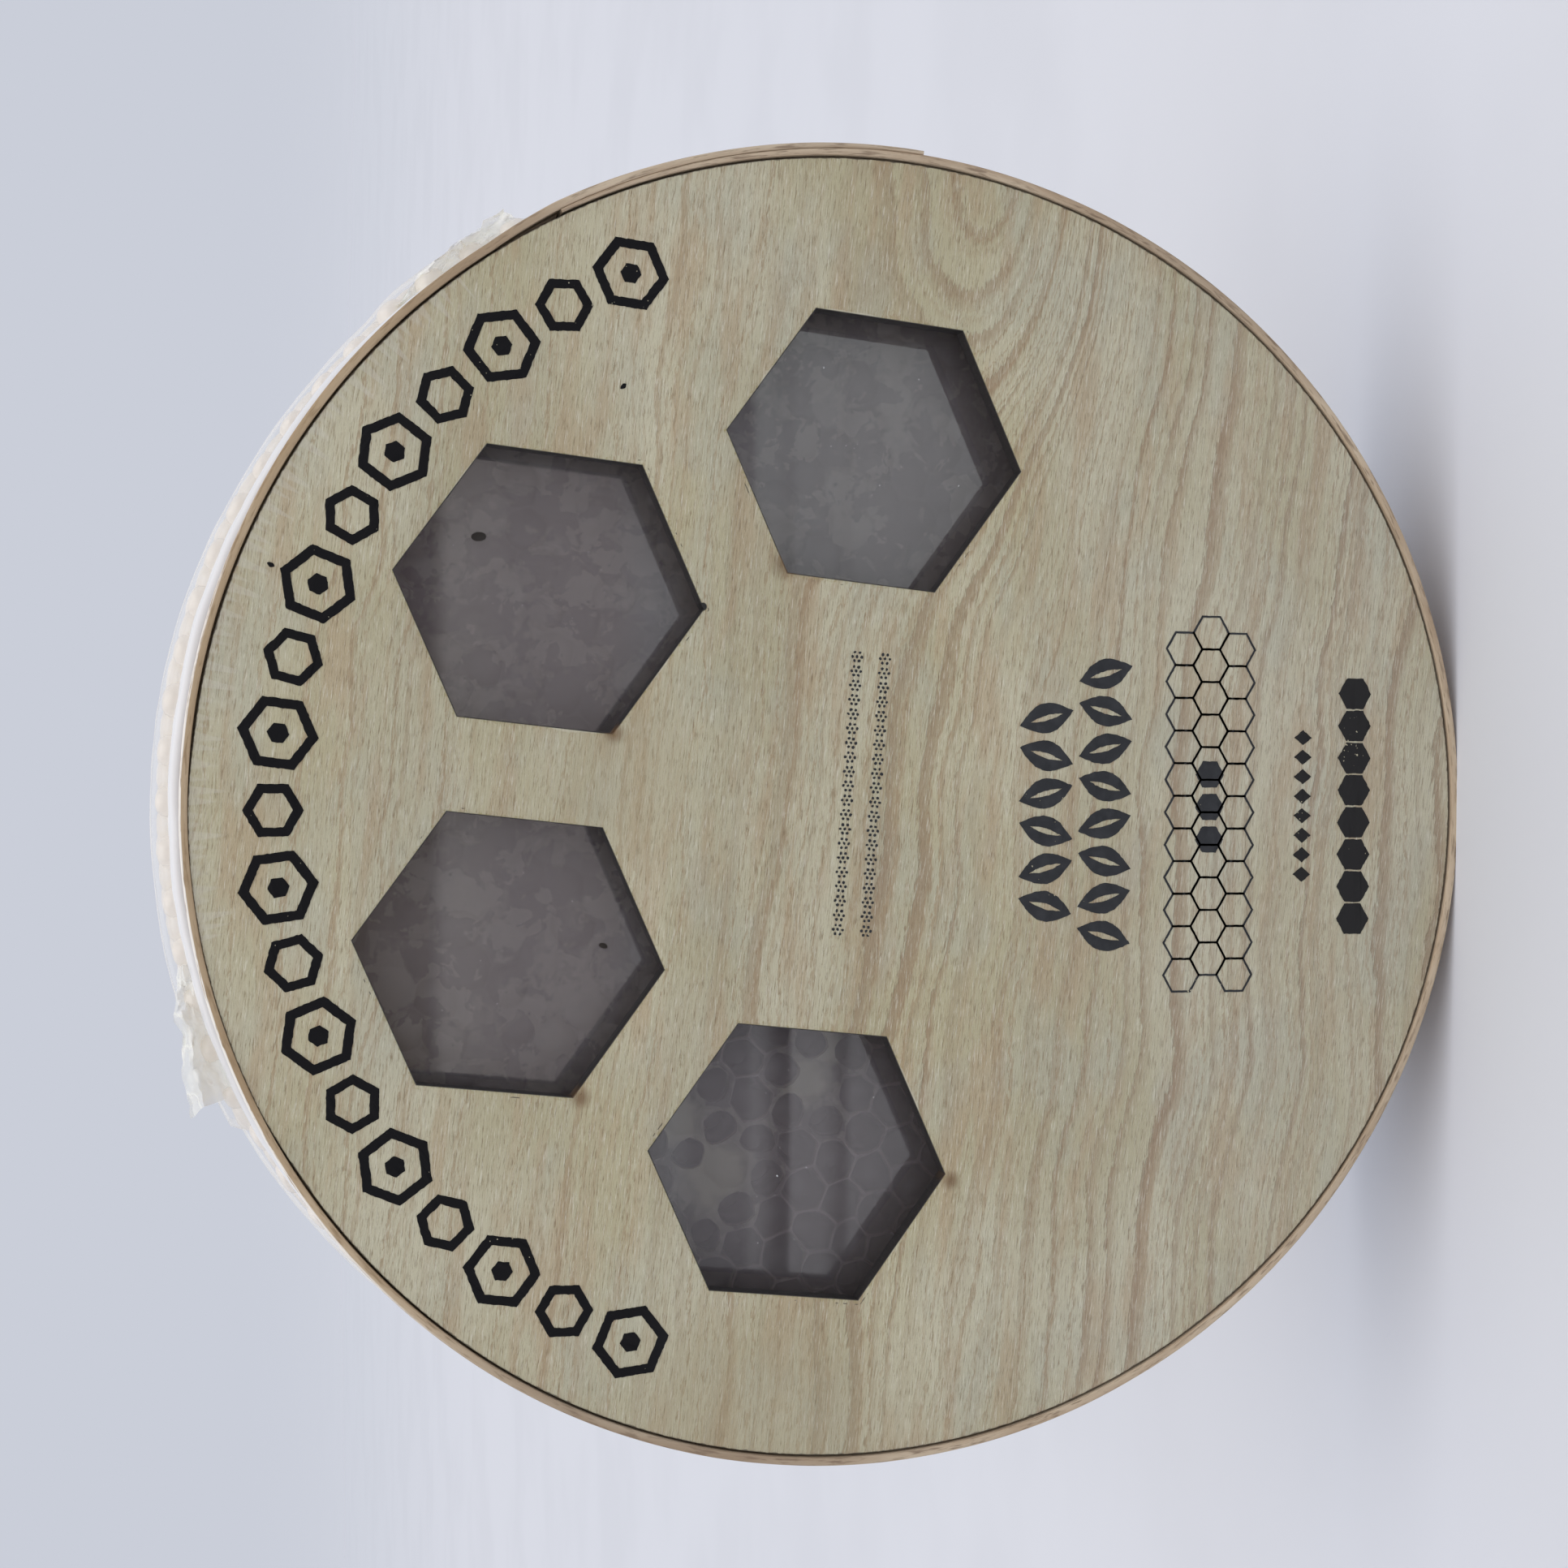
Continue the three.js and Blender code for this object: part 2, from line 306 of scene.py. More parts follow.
def adder(tree):
    """The function that adds a node to this tree."""
    def add(kind, *values, inputs=None, **settings):
        """Adds a node with its settings and links. A kind may leave out ShaderNode and end
        with its operation. Values fill the inputs in use in order, and inputs fills others by
        name. A node given as a value stands for its first output in use."""
        kind, _, operation = kind.partition(" ")
        made = tree.nodes.new(kind if "Node" in kind else "ShaderNode" + kind)
        if operation:
            made.operation = operation
        for name, value in settings.items():
            setattr(made, name, value)
        sockets = [socket for socket in made.inputs if socket.enabled]
        named = [(made.inputs[name], value) for name, value in (inputs or {}).items()]
        for socket, value in [*zip(sockets, values), *named]:
            if isinstance(value, bpy.types.Node):
                value = next(output for output in value.outputs if output.enabled)
            if isinstance(value, bpy.types.NodeSocket):
                tree.links.new(value, socket)
            else:
                socket.default_value = value
        return made
    return add


def grow(tree, host_mesh=None, **values):
    """Runs a Geometry Nodes tree with these inputs and returns its result as a plain mesh."""
    host = new_object("host", host_mesh or bpy.data.meshes.new("host"))
    modifier = host.modifiers.new("grow", "NODES")
    modifier.node_group = tree
    for item in tree.interface.items_tree:
        key = item.name.lower().replace(" ", "_")
        if item.in_out == "INPUT" and key in values:
            modifier[item.identifier] = values[key]
    return evaluated(host, modifier)


def pattern(mesh):
    """An object that a tree copies about. It is removed with remove_patterns()."""
    return new_object("pattern", mesh)


def remove_patterns():
    for source in [o for o in bpy.data.objects if o.name.startswith("pattern")]:
        bpy.data.objects.remove(source)


def new_tree(name, sockets):
    """A Geometry Nodes tree with named inputs. Returns the tree, the function that adds a node
    to it, and what its inputs give."""
    tree = bpy.data.node_groups.new(name, "GeometryNodeTree")
    tree.interface.new_socket("Mesh", in_out="OUTPUT", socket_type="NodeSocketGeometry")
    for label, kind in sockets:
        tree.interface.new_socket(label, in_out="INPUT", socket_type="NodeSocket" + kind)
    add = adder(tree)
    return tree, add, add("NodeGroupInput").outputs


def finish_tree(add, copies, material, swell, amount, merge=0.0):
    """Ends a tree: its copies realised, their points moved by a smooth random swell of this
    size, as far as amount says along each axis, and their material set."""
    mesh = add("GeometryNodeRealizeInstances", copies)
    if merge:
        mesh = add("GeometryNodeMergeByDistance", mesh, inputs={"Distance": merge})
    here = add("GeometryNodeInputPosition")
    random = add("TexNoise", here, inputs={"Scale": swell, "Detail": 2.0}).outputs["Color"]
    centred = add("VectorMath SUBTRACT", random, (0.5, 0.5, 0.5))
    shift = add("VectorMath MULTIPLY", centred, amount)
    mesh = add("GeometryNodeSetPosition", mesh, inputs={"Offset": shift})
    mesh = add("GeometryNodeSetMaterial", mesh, inputs={"Material": material})
    add("NodeGroupOutput", mesh)


def grid_place(add, given):
    """Where a numbered point stands in a grid about the middle, whose odd rows shift."""
    index = add("GeometryNodeInputIndex")
    column = add("Math FLOORED_MODULO", index, given["Columns"])
    row = add("Math FLOOR", add("Math DIVIDE", index, given["Columns"]))
    odd = add("Math FLOORED_MODULO", row, 2.0)
    size = add("CombineXYZ", given["Columns"], given["Rows"])
    middle = add("VectorMath MULTIPLY", add("VectorMath SUBTRACT", size, (1, 1, 0)),
                 (0.5, 0.5, 0))
    number = add("VectorMath SUBTRACT", add("CombineXYZ", column, row), middle)
    pitch = add("CombineXYZ", given["Column pitch"], given["Row pitch"])
    part = add("SeparateXYZ", add("VectorMath MULTIPLY", number, pitch)).outputs
    x = add("Math MULTIPLY_ADD", odd, given["Row shift"], part[0])
    return x, add("Math MULTIPLY", part[1], -1.0)


# ---- Materials ------------------------------------------------------------------------------

KNOT = (84.0, -12.0)  # the eye of the figure at the board's right edge
KNOT_SPREAD = (40.0, 15.0)
KNOT_RISE = 34.0
# Where the laser dwelt: x, y and width.
SCORCHES = ((9.2, 31.2, 1.6), (31.0, 9.4, 2.4), (-36.4, 35.0, 1.6), (-48.1, -13.4, 1.5))
NOTCH = (25.3, 20.0, 0.55)
TAN_ZONES = ((2.0, 30.0, 20.0, 12.0), (-76.0, 3.0, 16.0, 24.0))  # x, y, and reach either way


def srgb(code):
    """An sRGB hex colour as linear red, green, blue and alpha."""
    values = [int(code[k:k + 2], 16) / 255 for k in (1, 3, 5)]
    linear = [v / 12.92 if v <= 0.04045 else ((v + 0.055) / 1.055) ** 2.4 for v in values]
    return (*linear, 1.0)


def new_material(name):
    """An empty material, and the function that adds a node to it."""
    material = bpy.data.materials.new(name)
    material.use_nodes = True
    material.node_tree.nodes.clear()
    return material, adder(material.node_tree)


def lid_millimetres(add, turn=0.0):
    """Millimetres from the lid's centre: x right, y depth, z up, turned with the board."""
    here = add("TexCoord").outputs["Object"]
    return add("Mapping", here, (0, 0, LID_CENTRE_Z), (0, -math.radians(turn), 0), (MM, MM, MM),
               vector_type="TEXTURE")


def lid_radius(add):
    """Millimetres from the axis through the lid's centre."""
    flat_on = add("VectorMath MULTIPLY", lid_millimetres(add), (1, 0, 1))
    return add("VectorMath LENGTH", flat_on)


def grain(add, at, per_mm, detail=2.0, roughness=0.5, distortion=0.0):
    """Unevenness from 0 to 1, with this many features to a millimetre along each axis."""
    stretched = add("VectorMath MULTIPLY", at, per_mm)
    return add("TexNoise", stretched, inputs={
        "Scale": 1.0, "Detail": detail, "Roughness": roughness, "Distortion": distortion})


def coats(add, colour, *layers):
    """Lays colours over one another. Each layer is (value, none at, full at, share, colour),
    so it covers that share in full where the value reaches its second limit."""
    for value, none_at, full_at, share, code in layers:
        cover = add("MapRange", value, none_at, full_at, 0.0, share,
                    interpolation_type="SMOOTHSTEP")
        colour = add("Mix", cover, colour, srgb(code), data_type="RGBA")
    return colour


def surface(add, colour, roughness, ior, height=None, depth=0.0):
    """A plain opaque surface, with relief of this many millimetres where it has a height."""
    inputs = {"Base Color": colour, "Roughness": roughness, "IOR": ior}
    if height:
        inputs["Normal"] = add("Bump", inputs={"Height": height, "Distance": depth * MM})
    add("OutputMaterial", add("BsdfPrincipled", inputs=inputs))


def spot_distance(add, at, x, y, spread_x, spread_y):
    """How far a point is from a spot of the lid, in shares of the spot's spread."""
    away = add("VectorMath SUBTRACT", at, (x, 0, y))
    return add("VectorMath LENGTH",
               add("VectorMath MULTIPLY", away, (1 / spread_x, 0, 1 / spread_y)))


def outside_windows(add, at):
    """Millimetres from a point of the board to the edge of the nearest hexagonal window."""
    part = add("SeparateXYZ", at).outputs
    flat_on = add("CombineXYZ", add("Math ABSOLUTE", part[0]), part[2])
    reaches = []
    for angle in WINDOW_PLACES[:2]:
        x, y = polar(WINDOW_CIRCLE_R, 90 - angle)
        away = add("VectorMath SUBTRACT", flat_on, (x, y + WINDOW_CIRCLE_LIFT, 0))
        away = add("VectorMath ABSOLUTE", away)
        slant = add("VectorMath DOT_PRODUCT", away, (0.5, math.sqrt(3) / 2, 0))
        reaches.append(add("Math MAXIMUM", add("SeparateXYZ", away), slant))
    return add("Math SUBTRACT", add("Math MINIMUM", *reaches), WINDOW_R * math.sqrt(3) / 2)


def growth_lines(add, field, spacing):
    """Lines about this far apart along a field: each darkens slowly, ends sharply, and is
    stronger or weaker than the next. Returns 0 to 1."""
    stray = add("TexNoise", noise_dimensions="1D", inputs={
        "W": field, "Scale": 0.35 / spacing, "Detail": 1.0})
    lines = add("Math MULTIPLY_ADD", stray, 3.0, add("Math MULTIPLY", field, 1 / spacing))
    share = add("Math FRACT", lines)
    early = add("MapRange", share, 0.35, 0.92, interpolation_type="SMOOTHSTEP")
    late = add("MapRange", share, 1.0, 0.95)
    number = add("Math FLOOR", lines)
    weight = add("TexWhiteNoise", inputs={"W": number}, noise_dimensions="1D")
    weight = add("MapRange", weight, 0.0, 1.0, 0.35, 1.0)
    return add("Math MULTIPLY", add("Math MULTIPLY", early, late), weight)


def torn_rim(add, at, colour):
    """Colours the board's rim: its edge is torn into short pale teeth where the blade crossed
    the fibres, and darkened with painted shade of the gap where it meets the ring."""
    part = add("SeparateXYZ", lid_millimetres(add)).outputs
    angle = add("Math ARCTAN2", part[0], part[2])
    in_teeth = add("Math COMPARE", angle, math.radians(sum(TEETH) / 2),
                   math.radians((TEETH[1] - TEETH[0]) / 2))
    length = add("TexNoise", noise_dimensions="1D", inputs={
        "W": angle, "Scale": PANEL_R / TOOTH, "Detail": 0.0})
    length = add("MapRange", length, 0.38, 0.75, 0.0, 4.5)
    radius = lid_radius(add)
    tooth = add("Math MULTIPLY", add("Math ADD", radius, length), in_teeth)
    # The dark band at the board's very edge is painted shade of the gap to the ring, less where
    # the board touches it.
    wavering = add("Math MULTIPLY", grain(add, at, (1.1, 0, 1.1)), 0.4)
    rim = add("Math ADD", radius, wavering)
    off_touch = add("Math SUBTRACT", angle, math.radians(sum(TOUCH) / 2))
    half, soft = math.radians((TOUCH[1] - TOUCH[0]) / 2), 0.06
    touching = add("MapRange", add("Math ABSOLUTE", off_touch), half + soft, half - soft, 0.0,
                   0.3)
    rim = add("Math SUBTRACT", rim, touching)
    return coats(add, colour, (tooth, PANEL_R - 0.1, PANEL_R + 1.6, 0.32, "#D8D3C2"),
                 (rim, PANEL_R + 0.02, PANEL_R + 0.16, 0.85, "#4F463A"))


def laser_cut(add, at, colour):
    """Colours what the laser left: a yellowed fringe, a pale painted highlight and a charred
    line round each window, and scorches and a notch where it dwelt."""
    near = outside_windows(add, at)
    ragged = add("Math MULTIPLY_ADD", grain(add, at, (2.2, 0, 2.2), 3.0, 0.7), 4.0, near)
    # A pale line about a millimetre from each window is a painted highlight of its cut edge.
    pale_edge_highlight = add("Math MULTIPLY_ADD", grain(add, at, (0.12, 0, 0.12), 1.0), 2.6, near)
    dashed = add("Math MULTIPLY_ADD", grain(add, at, (0.9, 0, 0.9), 1.0), 3.0, pale_edge_highlight)
    groove = add("Math MULTIPLY", dashed, add("Math COMPARE", near, 0.62, 0.07))
    colour = coats(add, colour, (ragged, 2.5, 1.3, 0.8, "#A1945A"),
                   (pale_edge_highlight, 1.25, 1.0, 0.6, "#D9D3BC"), (groove, 4.0, 4.2, 0.8, "#4A4335"),
                   (near, 0.2, 0.06, 1.0, "#2A2624"))
    plain = lid_millimetres(add)
    for x, y, size in SCORCHES:
        colour = coats(add, colour, (spot_distance(add, plain, x, y, size, size), 1.2, 0.1, 0.75,
                                     "#75552F"))
    return coats(add, colour, (spot_distance(add, plain, *NOTCH, NOTCH[2]), 1.1, 0.8, 1.0,
                               "#14110F"))


def birch_board():
    """Sliced birch veneer, sanded and varnished satin: pale greenish beige under short broken
    fibres, with wavy brown growth lines. A laser cut the windows, so it is scorched there."""
    material, add = new_material("sliced birch veneer, satin varnish")
    at = lid_millimetres(add, BOARD_TURN)
    up = add("SeparateXYZ", at).outputs["Z"]

    # The growth lines are contours of a field that swells and climbs round the eye.
    eye = add("Math POWER", spot_distance(add, at, *KNOT, *KNOT_SPREAD), 2.0)
    eye = add("Math POWER", math.exp(-1), eye)
    field = add("Math MULTIPLY_ADD", eye, KNOT_RISE, up)
    for per_mm, detail, rise in (((0.014, 0, 0.018), 2.0, 15.0), ((0.05, 0, 0.07), 1.0, 4.0),
                                 ((0.5, 0, 3.2), 3.0, 2.0)):
        field = add("Math MULTIPLY_ADD", grain(add, at, per_mm, detail), rise, field)
    fine = growth_lines(add, field, 1.3)
    below = add("MapRange", up, 36.0, -14.0, 0.3, 1.0, interpolation_type="SMOOTHSTEP")
    fading = add("MapRange", grain(add, at, (0.016, 0, 0.07)), 0.34, 0.6, 0.55, 1.0)
    bold = add("Math MULTIPLY", growth_lines(add, field, 3.8), below)
    bold = add("Math MULTIPLY", bold, fading)

    fibres = grain(add, at, (0.4, 0, 4.8), 4.0, 0.75)
    dashes = grain(add, at, (0.35, 0, 4.6), 4.0, 0.7)
    colour = coats(
        add, srgb("#CFC8AA"),
        (grain(add, at, (0.02, 0, 0.05), 3.0), 0.38, 0.62, 1.0, "#C1B894"),
        (grain(add, at, (0.04, 0, 0.3), 3.0), 0.48, 0.64, 0.6, "#BDA683"),
        (grain(add, at, (0.05, 0, 0.11), 3.0), 0.48, 0.66, 0.5, "#BFBDA6"),
        (fine, 0.15, 1.0, 0.7, "#AB9270"), (bold, 0.05, 0.9, 0.7, "#9C8061"),
        (fibres, 0.5, 0.32, 0.85, "#8C7757"), (dashes, 0.52, 0.7, 0.7, "#E6E1CC"),
        (up, -10.0, -60.0, 0.06, "#FFFFFF"))
    for zone in TAN_ZONES:
        colour = coats(add, colour, (spot_distance(add, at, *zone), 1.0, 0.3, 0.4, "#ADA07D"))
    colour = laser_cut(add, at, torn_rim(add, at, colour))
    relief = add("Math MULTIPLY_ADD", bold, -0.5, fibres)
    surface(add, colour, 0.48, 1.5, relief, 0.16)
    return material


def charred_edge():
    """Laser-burnt wood: nearly black and matt, a little brown where the char is thin."""
    material, add = new_material("laser-charred wood edge")
    soot = grain(add, lid_millimetres(add), (0.9, 2.0, 0.9), 3.0)
    colour = coats(add, srgb("#463C3A"), (soot, 0.5, 0.75, 0.8, "#5A4637"))
    surface(add, colour, 0.8, 1.5, soot, 0.05)
    return material


def screen_ink():
    """Black screen ink on varnish: matt, black at the top, dark grey lower down and a little
    darker again at the bottom, with pinholes where the ink missed."""
    material, add = new_material("black screen ink")
    at = lid_millimetres(add)
    up = add("SeparateXYZ", at).outputs["Z"]
    holes = add("Math MULTIPLY_ADD", grain(add, at, (0.07, 0, 0.07), 1.0), 0.35,
                grain(add, at, (2.2, 0, 2.2), 1.0))
    colour = coats(add, srgb("#363739"),
                   (grain(add, at, (0.5, 0, 0.5)), 0.4, 0.7, 0.7, "#404143"),
                   (up, 0.0, 30.0, 1.0, "#151416"), (up, -52.0, -60.0, 1.0, "#2C2B2B"),
                   (holes, 0.93, 0.96, 1.0, "#B9B197"))
    surface(add, colour, 0.8, 1.25)
    return material


def bent_veneer(name, pale, tan, dark, golden="#C9AC80", highlight_colour="#DCC6A2"):
    """Steamed and bent veneer, left raw: long fibres run round the box, with dark pores and
    a matt, slightly furry face. It follows the piece's length and girth. It yellows at the
    top, where its front outer edge may carry a pale painted highlight."""
    material, add = new_material(name)
    at = add("UVMap", uv_map="length_and_girth")
    fibres = grain(add, at, (0.22, 6.0, 1), 3.0, 0.65)
    pores = grain(add, at, (0.3, 8.0, 1), 2.0, 0.6)
    part = add("SeparateXYZ", lid_millimetres(add)).outputs
    # A pale painted highlight on the front outer edge near the top, broken by the fibres.
    highlit_edge = add("Math LESS_THAN", part[1], FACE_Y / MM + 0.35)
    for field, none, full in ((lid_radius(add), RING_OUT - 0.32, RING_OUT - 0.16),
                              (part[2], 44.0, 76.0), (part[0], 44.0, 8.0), (fibres, 0.3, 0.5)):
        highlit_edge = add("Math MULTIPLY", highlit_edge, add("MapRange", field, none, full))
    colour = coats(add, srgb(pale),
                   (grain(add, at, (0.035, 1.1, 1), 4.0, 0.6, 0.3), 0.35, 0.65, 1.0, tan),
                   (grain(add, at, (0.02, 0.2, 1)), 0.4, 0.7, 0.35, dark),
                   (fibres, 0.5, 0.32, 0.7, dark), (pores, 0.58, 0.7, 0.7, dark),
                   (part[2], 35.0, 68.0, 0.45, golden), (highlit_edge, 0.0, 0.8, 1.0, highlight_colour))
    surface(add, colour, 0.72, 1.5, add("Math SUBTRACT", fibres, pores), 0.06)
    return material


def raw_plywood():
    """Thin poplar plywood, sanded and left raw: pale tan with faint upright growth lines."""
    material, add = new_material("raw poplar plywood")
    at = lid_millimetres(add, BOARD_TURN)
    part = add("SeparateXYZ", at).outputs
    field = add("Math MULTIPLY_ADD", grain(add, at, (0.03, 0, 0.008)), 30.0, part[0])
    field = add("Math MULTIPLY_ADD", grain(add, at, (3.0, 0, 0.4)), 1.8, field)
    fibres = grain(add, at, (2.6, 0, 0.2), 3.0, 0.6)
    plies = add("Math PINGPONG", part[1], PLY)
    colour = coats(add, srgb("#D9C19A"),
                   (growth_lines(add, field, 9.0), 0.0, 1.0, 0.7, "#B8955F"),
                   (fibres, 0.45, 0.3, 0.5, "#B08F62"),
                   (plies, PLY * 0.45, PLY * 0.55, 0.15, "#A98558"))
    surface(add, colour, 0.65, 1.5, fibres, 0.04)
    return material


def thin_film(name, haze, colour, through=0.5, creases=0.0):
    """Polythene film in daylight: clear where it lies smooth, milky white where it is double,
    creased or seen at a slant, and glossy. Part of what it scatters comes through to the other
    side."""
    material, add = new_material(name)
    folds = grain(add, lid_millimetres(add), (0.24, 0.15, 0.24), 0.0, 0.55, 0.6)
    off_fold = add("Math ABSOLUTE", add("Math SUBTRACT", folds, 0.5))
    milky = add("MapRange", off_fold, 0.05, 0.0, haze, min(1.0, haze + creases))
    facing = add("LayerWeight", 0.5).outputs["Facing"]
    milky = add("Math MAXIMUM", milky, add("Math POWER", facing, 2.5))
    scattered = add("MixShader", through, add("BsdfDiffuse", srgb(colour)),
                    add("BsdfTranslucent", srgb(colour)))
    body = add("MixShader", milky, add("BsdfTransparent"), scattered)
    mirror = add("Math MULTIPLY_ADD", add("Math POWER", facing, 5.0), 0.5, 0.05)
    gloss = add("BsdfGlossy", (1, 1, 1, 1), 0.2)
    add("OutputMaterial", add("MixShader", mirror, body, gloss))
    return material


def clear_cover():
    """Clear PET lid pressed against the wet comb: clear and glossy with a breath of haze.
    Only its front mirrors, for both faces of the thin sheet, as honey wets its back."""
    material, add = new_material("clear glossy PET")
    depth = add("SeparateXYZ", lid_millimetres(add)).outputs["Y"]
    front = add("Math LESS_THAN", depth, FACE_Y / MM + (COVER_FRONT + COVER_BACK) / 2)
    both_faces = add("Math MULTIPLY", add("Fresnel", 1.5), 2.0)
    body = add("MixShader", 0.12, add("BsdfTransparent"), add("BsdfDiffuse", srgb("#E3D6D6")))
    gloss = add("BsdfGlossy", (1, 1, 1, 1), 0.0)
    mirror = add("Math MULTIPLY", both_faces, front)
    add("OutputMaterial", add("MixShader", mirror, body, gloss))
    return material


def wet_comb():
    """Beeswax comb full of dark honey: near-black brown, greyer over the capped cells, with
    thin pale walls, and fresh yellowish grey wax in patches. The wax attribute says how much
    bare wax a point shows, and tone sets each cell apart."""
    material, add = new_material("beeswax comb with dark honey")
    at = lid_millimetres(add)
    wax = add("Attribute", attribute_name="wax").outputs["Fac"]
    tone = add("Attribute", attribute_name="tone").outputs["Fac"]
    depth = add("SeparateXYZ", at).outputs["Y"]
    blobs = grain(add, at, (0.13, 0.13, 0.13), 3.0, 0.55, 0.2)
    mottle = grain(add, at, (0.26, 0.26, 0.26), 4.0, 0.6, 0.3)
    crown = add("Math MULTIPLY", wax, -1.0, use_clamp=True)
    pale = add("Math MULTIPLY", add("MapRange", tone, 0.55, 0.85), crown)
    dark = add("Math MULTIPLY", add("MapRange", tone, 0.4, 0.1), crown)
    patch = reduce(lambda one, other: add("Math MINIMUM", one, other),
                   [spot_distance(add, at, x, y, size, size) for x, y, size in WAX_PATCHES])
    patch = add("Math MULTIPLY_ADD", grain(add, at, (0.4, 0, 0.4), 3.0), -1.1, patch)
    stained = add("Math MULTIPLY_ADD", mottle, 0.5, patch)
    # More than a millimetre behind the comb's front, the cells are painted bluish near black:
    # partly their dark honey, partly painted shade in the recess.
    honey_and_shade_depth = FACE_Y / MM + COMB_FRONT + 1.0
    colour = coats(add, srgb("#2C2420"), (blobs, 0.45, 0.57, 0.85, "#625F53"),
                   (pale, 0.0, 1.0, 0.6, "#7C7B70"), (dark, 0.0, 1.0, 0.75, "#1F1916"),
                   (mottle, 0.51, 0.56, 0.85, "#1A1512"), (mottle, 0.46, 0.43, 0.8, "#716D62"),
                   (patch, 0.85, 0.35, 0.85, "#757363"), (stained, 0.7, 0.3, 0.9, "#8D8B76"),
                   (wax, 0.3, 1.0, 0.75, "#74686A"),
                   (depth, honey_and_shade_depth, honey_and_shade_depth + 0.8, 1.0, "#1C1C26"))
    surface(add, colour, 0.36, 1.44, grain(add, at, (0.3, 0.3, 0.3), 0.0), 0.3)
    return material


def white_table():
    """Painted white table top, satin, with painted light close to the box: a little lighter
    and bluer there, lifting the box's shade. It fades far off, as the surroundings take over."""
    material, add = new_material("white painted table")
    at = lid_millimetres(add)
    reach = add("VectorMath LENGTH", add("VectorMath MULTIPLY", at, (MM, MM, 0)))
    colour = coats(add, srgb("#E1E2E6"),
                   (grain(add, at, (0.012, 0.012, 0.012), 3.0), 0.4, 0.65, 1.0, "#DDDEE2"),
                   # Painted light: lighter and bluer close to the box, lifting its shade on the
                   # table.
                   (reach, *PAINTED_LIGHT_NEAR_BOX, 1.0, "#E3E5EB"))
    paint = add("BsdfPrincipled", inputs={"Base Color": colour, "Roughness": 0.5})
    fade = add("MapRange", add("Math DIVIDE", 1.0, reach), 1 / FLOOR_FADE,
               1 / (FLOOR_R * 0.97), interpolation_type="SMOOTHSTEP")
    add("OutputMaterial", add("MixShader", fade, paint, add("BsdfTransparent")))
    return material


def mirrored_table():
    """A glowing sheet, a painted reflection of the table's near side from above: brighter to
    the right, where the daylight comes from, with painted shadows of two edges across it."""
    material, add = new_material("daylit table, as mirrored")
    across, depth, _ = add("SeparateXYZ", lid_millimetres(add)).outputs
    left = add("MapRange", across, 90.0, -60.0)
    lines = []
    for near, far, strength in ((-376, -420, 1.0), (-310, -342, 0.6)):
        tail = add("MapRange", depth, far, near - 8, 0.0, strength)
        cut = add("MapRange", depth, near + 9, near - 5, interpolation_type="SMOOTHSTEP")
        lines.append(add("Math MULTIPLY", tail, cut))
    shade = add("MapRange", left, 0.0, 1.0, 0.25, 1.0)
    lines = add("Math MULTIPLY", add("Math MAXIMUM", *lines), shade)
    colour = coats(add, srgb("#F8FEFF"), (left, 0.0, 1.0, 1.0, "#DBDCE1"),
                   (depth, -420, -436, 1.0, "#AEAEB4"), (depth, -500, -560, 1.0, "#E9ECF2"),
                   (depth, -560, -720, 1.0, "#CEC4C4"), (depth, -950, -1250, 1.0, "#EDE4E0"),
                   (depth, -1330, -1470, 1.0, "#85786F"), (lines, 0.0, 1.0, 1.0, "#1E1E20"))
    underside = add("NewGeometry").outputs["Backfacing"]
    add("OutputMaterial", add("MixShader", underside, add("Emission", colour, 0.93),
                              add("BsdfTransparent")))
    return material


def mirrored_room():
    """A glowing sheet, a painted reflection of the dim room beyond the table, darker to the right.
    """
    material, add = new_material("dim room, as mirrored")
    across = add("SeparateXYZ", lid_millimetres(add)).outputs["X"]
    colour = coats(add, srgb("#614C4C"), (across, 118, -138, 1.0, "#816F5D"))
    add("OutputMaterial", add("Emission", colour, 1.0))
    return material


# ---- Camera, table and light ----------------------------------------------------------------

CAMERA_PLACE = (0.0065, -0.3292, 0.1676)
CAMERA_PITCH = -13.03
CAMERA_YAW = 0.62
CAMERA_ROLL = -89.58  # the camera lies on its side, so the box's top is at the picture's left
CAMERA_LENS = 59.63
SENSOR = 36.0
FLOOR_R = 9.0
FLOOR_FADE = 1.1  # the table starts to fade this far off
# Painted light on the table round the box reaches between these distances.
PAINTED_LIGHT_NEAR_BOX = (0.15, 0.03)  # the table turns bluer between these distances from the lid
SUN_FROM = (0.1, -0.3, 1.0)


def set_camera():
    camera = bpy.data.cameras.new("camera")
    camera.lens = CAMERA_LENS
    camera.sensor_width = SENSOR
    camera.clip_start = 0.01
    stand = new_object("camera", camera)
    stand.location = CAMERA_PLACE
    level = Euler((math.radians(90 + CAMERA_PITCH), 0, math.radians(CAMERA_YAW))).to_matrix()
    roll = Matrix.Rotation(math.radians(CAMERA_ROLL), 3, "Z")
    stand.rotation_euler = (level @ roll).to_euler()
    bpy.context.scene.camera = stand


def stage_sheet(name, corners, material, only_gloss=False):
    """A flat sheet of the stage, in metres. One that only gloss sees casts no shadow either."""
    mesh = mesh_of(corners, [tuple(range(len(corners)))])
    mesh.materials.append(material)
    sheet = new_object(name, mesh)
    if only_gloss:
        for ray in ("camera", "shadow", "diffuse", "transmission"):
            setattr(sheet, "visible_" + ray, False)


